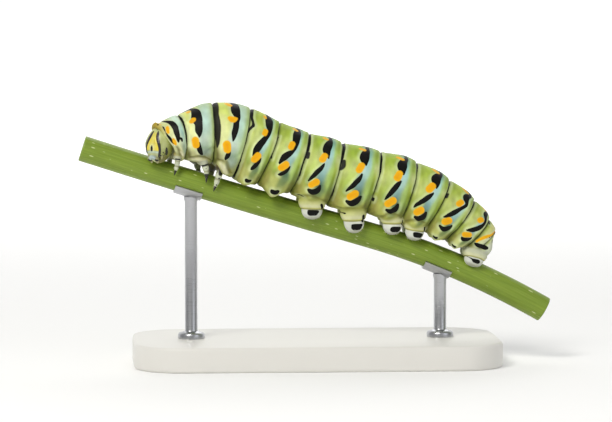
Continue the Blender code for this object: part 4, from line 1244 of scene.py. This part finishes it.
# root, knee and tip of each left leg in mm, its size, and the strokes of its marks: hundredths of the way
# down, degrees round it from the outer side towards the tail, and half the width in hundredths of a mm
LEGS = {
    "leg_1": ((-16.60, -1.75, 25.30), (-16.60, -2.30, 24.10), (-17.08, -1.98, 22.66), 0.78, [
        (30,-40,10, 30,40,10),
        (89,0,40, 100,0,40),
    ]),
    "leg_2": ((-13.95, -1.65, 24.90), (-13.00, -2.45, 23.60), (-13.28, -1.95, 21.74), 0.95, [
        (36,-70,12, 38,0,13, 37,60,10),
        (50,0,7, 50,10,7),
        (80,0,50, 100,0,50),
    ]),
    "leg_3": ((-11.30, -1.75, 24.30), (-11.75, -2.55, 22.60), (-12.40, -1.98, 20.74), 1.0, [
        (33,10,20, 41,22,26),
        (55,20,10, 56,28,10),
        (76,10,10, 77,24,10),
        (91,0,40, 100,0,40),
    ]),
}
leg_at = through(LEG_PROFILE, np.linspace(0, 15, 68))


def leg_surface(name, side, down, radius, turn):
    """Points of a leg: a bent middle line (root, knee and tip blended by the squares of the shares), and
    round sections square to it."""
    ahead = [-RIGHT_LEGS_AHEAD * (side < 0), 0, 0]
    root, knee, tip = (np.array(p) * [1, side, 1] + ahead for p in LEGS[name][:3])
    down = np.asarray(down)[..., None]
    middle = (1 - down) ** 2 * root + 2 * down * (1 - down) * knee + down**2 * tip
    way = unit((1 - down) * (knee - root) + down * (tip - knee))
    outer = unit(np.cross(way, [1.0, 0, 0]))
    outer = outer * np.where(outer[..., 1:2] * side > 0, -1, 1)
    return (middle + ring_offsets(LEGS[name][3] * radius, turn, outer, np.cross(way, outer) * -side)) * MM


for name in LEGS:
    for side_name, side in SIDES:
        leg = leg_surface(name, side, leg_at[:, :1] + 0 * ring_turns(28), leg_at[:, 1:], ring_turns(28))
        dark = np.full(leg.shape[:2], CLEAR)
        for numbers in LEGS[name][4]:
            share_down, degrees_round, halves = stroke(numbers).T
            radius = np.interp(share_down, leg_at[:, 0], leg_at[:, 1])
            places = leg_surface(name, side, share_down, radius, np.radians(degrees_round))
            dark = np.minimum(dark, stroke_field(leg, places, halves))
        down = leg_at[:, :1] + 0 * dark
        leg_ground = over(
            np.full(leg.shape, linear("#c6cbb0")),
            ("#3d3318", (1 - rise(down, 0.28, 0.44)) * (1 if name == "leg_3" else 0.2)),
            ("#a39a5e", 1 - rise(down, 0.08, 0.26)),
            ("#989a76", hump(down, 0.59, 0.03) + hump(down, 0.38, 0.03)),
            ("#2b2410", 0.65 * (side < 0) + 0 * down),  # the far legs stand in shade
        )
        values = {"ground": leg_ground, "marks": marks_of(np.full_like(dark, CLEAR), dark, dark)}
        leg_piece = closed_tube(f"walking_{name}_{side_name}", leg, shell_finish, values)
        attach(leg_piece, "root")
        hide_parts(f"{name}_{side_name}")

# The bristles

# Fine stiff hairs: a fringe of short ones under the feet of the prolegs, and a few on the legs and the
# face.  Each is one tapering spike of cuticle set in the skin.
FRINGE_COUNT, LEG_HAIR_COUNT, FACE_HAIR_COUNT = 34, 16, 60
FRINGE_RADIUS, LEG_HAIR_RADIUS, FACE_HAIR_RADIUS = 0.013 * MM, 0.009 * MM, 0.008 * MM
# Pale, clear cuticle, smooth as it grew: satin, and a little lighter or darker from place to place.
hair_finish, shader, add = new_finish("pale_bristle", {"Roughness": 0.4, "IOR": 1.5})
place = add("TexCoord", out="Object")
hair_noise = add("TexNoise", {"Vector": place, "Scale": 2500.0})
hair_colours = {"Factor": hair_noise, "A": paint("#b8b48f"), "B": paint("#e6e4d2")}
feed(shader, {"Base Color": add("Mix", hair_colours, **OF_COLOURS)})


def bristles(name, roots, ways, lengths, radius):
    """One mesh of many spikes: each a three-sided foot, a bent waist and a tip, from its root point along
    its way, leaning down by a share of its length squared."""
    ways, lengths = unit(ways), lengths[:, None, None]
    first = unit(np.cross(ways, [0.31, 0.22, 0.92]))
    levels = np.array([-0.08, 0.5])[None, :, None, None]
    thinning = np.array([1.0, 0.62])[None, :, None, None]
    ring = ring_offsets(np.ones(3), ring_turns(3), first[:, None], np.cross(ways, first)[:, None])[:, None]
    sag = np.array([0, 0, -1.0])
    loops = (
        roots[:, None, None]
        + levels * lengths[..., None] * ways[:, None, None]
        + 0.12 * levels**2 * lengths[..., None] * sag
        + radius * thinning * ring
    )
    tips = roots + lengths[:, 0] * (ways + 0.12 * sag)
    points = np.concatenate([loops.reshape(-1, 6, 3), tips[:, None]], 1)
    base = np.arange(len(roots))[:, None, None] * 7
    a, b = np.array([0, 1, 2]), np.array([1, 2, 0])
    quads = base + np.stack([a, b, b + 3, a + 3], -1)[None]
    cones = base + np.stack([a + 3, b + 3, np.full(3, 6)], -1)[None]
    feet = base[:, 0] + np.array([2, 1, 0])[None]
    return piece(name, points, [quads.reshape(-1, 4), cones.reshape(-1, 3), feet.reshape(-1, 3)], hair_finish)


chance = np.random.default_rng(11)
for name in PROLEGS:
    for side_name, side in SIDES:
        turn = np.radians(chance.uniform(-20, 200, FRINGE_COUNT))
        foot = foot_at(chance.uniform(0.91, 0.98, FRINGE_COUNT))
        root = proleg_surface(name, side, foot, turn)
        core = proleg_surface(name, side, foot * [1, 0.4, 0.4] - [0.10, 0, 0], turn)
        way = root - core + chance.normal(0, 0.10 * MM, (FRINGE_COUNT, 3)) - [0, 0, 0.35 * MM]
        lengths = chance.uniform(0.14, 0.24, FRINGE_COUNT) * MM
        fringe = bristles(f"fringe_{name}_{side_name}", root, way, lengths, FRINGE_RADIUS)
        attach(fringe, "root")
for name in LEGS:
    for side_name, side in SIDES:
        turn = chance.uniform(0, 2 * np.pi, LEG_HAIR_COUNT)
        share_down = chance.uniform(0.45, 0.85, LEG_HAIR_COUNT)
        radius = np.interp(share_down, leg_at[:, 0], leg_at[:, 1])
        root = leg_surface(name, side, share_down, radius, turn)
        core = leg_surface(name, side, share_down - 0.08, radius * 0, turn)
        lengths = chance.uniform(0.14, 0.30, LEG_HAIR_COUNT) * MM
        hairs = bristles(f"hairs_{name}_{side_name}", root, root - core, lengths, LEG_HAIR_RADIUS)
        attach(hairs, "root")
face_azimuth = chance.uniform(-100, 100, FACE_HAIR_COUNT)
face_elevation = chance.uniform(-60, 60, FACE_HAIR_COUNT)
face_root = head_surface(face_azimuth, face_elevation)
face_way = (unit(face_root) + [0.2, 0, -0.2]) @ head_axes.T
face_lengths = chance.uniform(0.12, 0.30, FACE_HAIR_COUNT) * MM
face_hairs = bristles("face_hairs", in_body(face_root), face_way, face_lengths, FACE_HAIR_RADIUS)
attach(face_hairs, "root")
